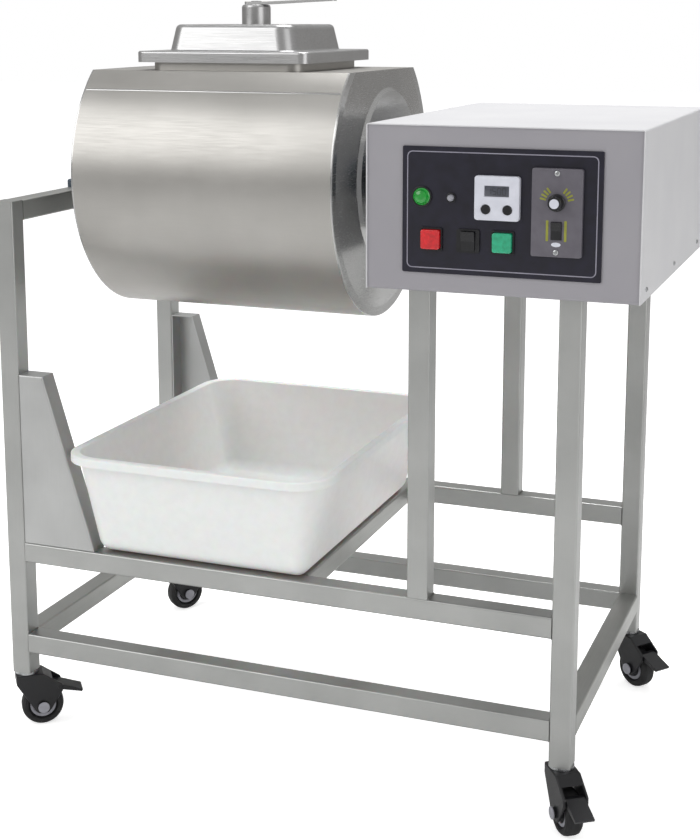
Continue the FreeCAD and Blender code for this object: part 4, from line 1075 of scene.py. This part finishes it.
        spot.data.transform(Matrix.Diagonal((1.5, 0.7, 1, 1)))
        set_piece(spot, (centre.x, face, rocker.z - self.rocker_mark_drop), Axis.Y, Side.LOW, "white",
                  "stand")


@dataclass
class Tub:
    """The loose tub under the drum."""

    def build(self) -> None:
        """Dress the tub in white polyethylene."""
        paint.dress(frame["nodes"]["tub"], "tub")


@dataclass
class Studio:
    """A plain pale floor, soft lights and the camera."""

    camera_place: Vector = field(default_factory=lambda: Vector((0.7798, -2.0863, 1.0659)))
    camera_yaw: float = 20.86
    camera_pitch: float = -9.87
    focal_ratio: float = 1502.8 / 840
    drop: float = 140 / 840
    floor_colour: str = "#f4f4f4"

    def build(self) -> None:
        """Set the floor, the world, the lamps and the camera."""
        self.floor()
        self.world()
        self.lamps()
        self.camera()

    def floor(self) -> None:
        """Lay a pale floor that a camera ray sees as almost white, with the machine's shadow."""
        Bench.clear()
        bpy.ops.mesh.primitive_plane_add(size=40, location=(0, 0, 0))
        floor = bpy.context.object
        floor.name = "floor"
        material = bpy.data.materials.new("pale floor, matt")
        material.use_nodes = True
        tree = material.node_tree
        tree.nodes.clear()
        matt = add_node(tree, "ShaderNodeBsdfDiffuse", {"Color": linear(self.floor_colour)})
        white = add_node(tree, "ShaderNodeEmission", {"Color": (1, 1, 1, 1), "Strength": 0.62})
        lifted = add_node(tree, "ShaderNodeAddShader", {0: matt.outputs[0], 1: white.outputs[0]})
        path = add_node(tree, "ShaderNodeLightPath")
        seen = add_node(tree, "ShaderNodeMixShader",
                        {0: path.outputs["Is Camera Ray"], 1: matt.outputs[0], 2: lifted.outputs[0]})
        add_node(tree, "ShaderNodeOutputMaterial", {"Surface": seen.outputs[0]})
        floor.data.materials.append(material)

    def world(self) -> None:
        """A pale world: white behind the machine, softer for what lights and mirrors in it."""
        world = bpy.data.worlds.new("studio")
        bpy.context.scene.world = world
        world.use_nodes = True
        tree = world.node_tree
        tree.nodes.clear()
        where = add_node(tree, "ShaderNodeTexCoord")
        parts = add_node(tree, "ShaderNodeSeparateXYZ", {"Vector": where.outputs["Generated"]})
        sky = add_node(tree, "ShaderNodeValToRGB", {"Fac": parts.outputs["Z"]})
        sky.color_ramp.elements[0].position = 0.0
        sky.color_ramp.elements[0].color = (0.46, 0.45, 0.44, 1)
        sky.color_ramp.elements[1].position = 0.75
        sky.color_ramp.elements[1].color = (0.80, 0.80, 0.80, 1)
        soft = add_node(tree, "ShaderNodeBackground", {"Color": sky.outputs["Color"], "Strength": 0.75})
        white = add_node(tree, "ShaderNodeBackground", {"Color": (1, 1, 1, 1), "Strength": 1.0})
        path = add_node(tree, "ShaderNodeLightPath")
        seen = add_node(tree, "ShaderNodeMixShader",
                        {0: path.outputs["Is Camera Ray"], 1: soft.outputs[0], 2: white.outputs[0]})
        add_node(tree, "ShaderNodeOutputWorld", {"Surface": seen.outputs[0]})

    def lamps(self) -> None:
        """Hang three soft boxes: key from the upper left, fill from the right, and one overhead."""
        boxes = (
            ("key_soft_box", (-2.2, -2.8, 2.6), 2.6, 46.0),
            ("fill_soft_box", (2.8, -1.6, 1.5), 2.2, 20.0),
            ("top_soft_box", (0.0, 0.6, 3.2), 1.4, 55.0),
        )
        for name, spot, side, power in boxes:
            Bench.clear()
            bpy.ops.object.light_add(type="AREA", location=spot)
            lamp = bpy.context.object
            lamp.name = name
            lamp.data.size = side
            lamp.data.energy = power
            aim = Vector((0, 0, 0.65)) - Vector(spot)
            lamp.rotation_euler = aim.to_track_quat("-Z", "Y").to_euler()

    def camera(self) -> None:
        """Set the camera at chest height, in front and to the right."""
        Bench.clear()
        bpy.ops.object.camera_add(location=self.camera_place)
        camera = bpy.context.object
        camera.rotation_euler = (math.radians(90 + self.camera_pitch), 0, math.radians(self.camera_yaw))
        camera.data.sensor_width = 36
        camera.data.lens = 36 * self.focal_ratio
        camera.data.shift_y = -self.drop
        camera.data.clip_start = 0.05
        bpy.context.scene.camera = camera
        bpy.context.scene.view_settings.view_transform = "Standard"


def main() -> None:
    """Build the machine's sub-assemblies in order, then the studio round them."""
    for assembly in (Stand(), Drum(), ControlBox()):
        assembly.dress()
        assembly.build()
    Casters().build()
    Tub().build()
    Studio().build()


if __name__ == "__main__":
    main()
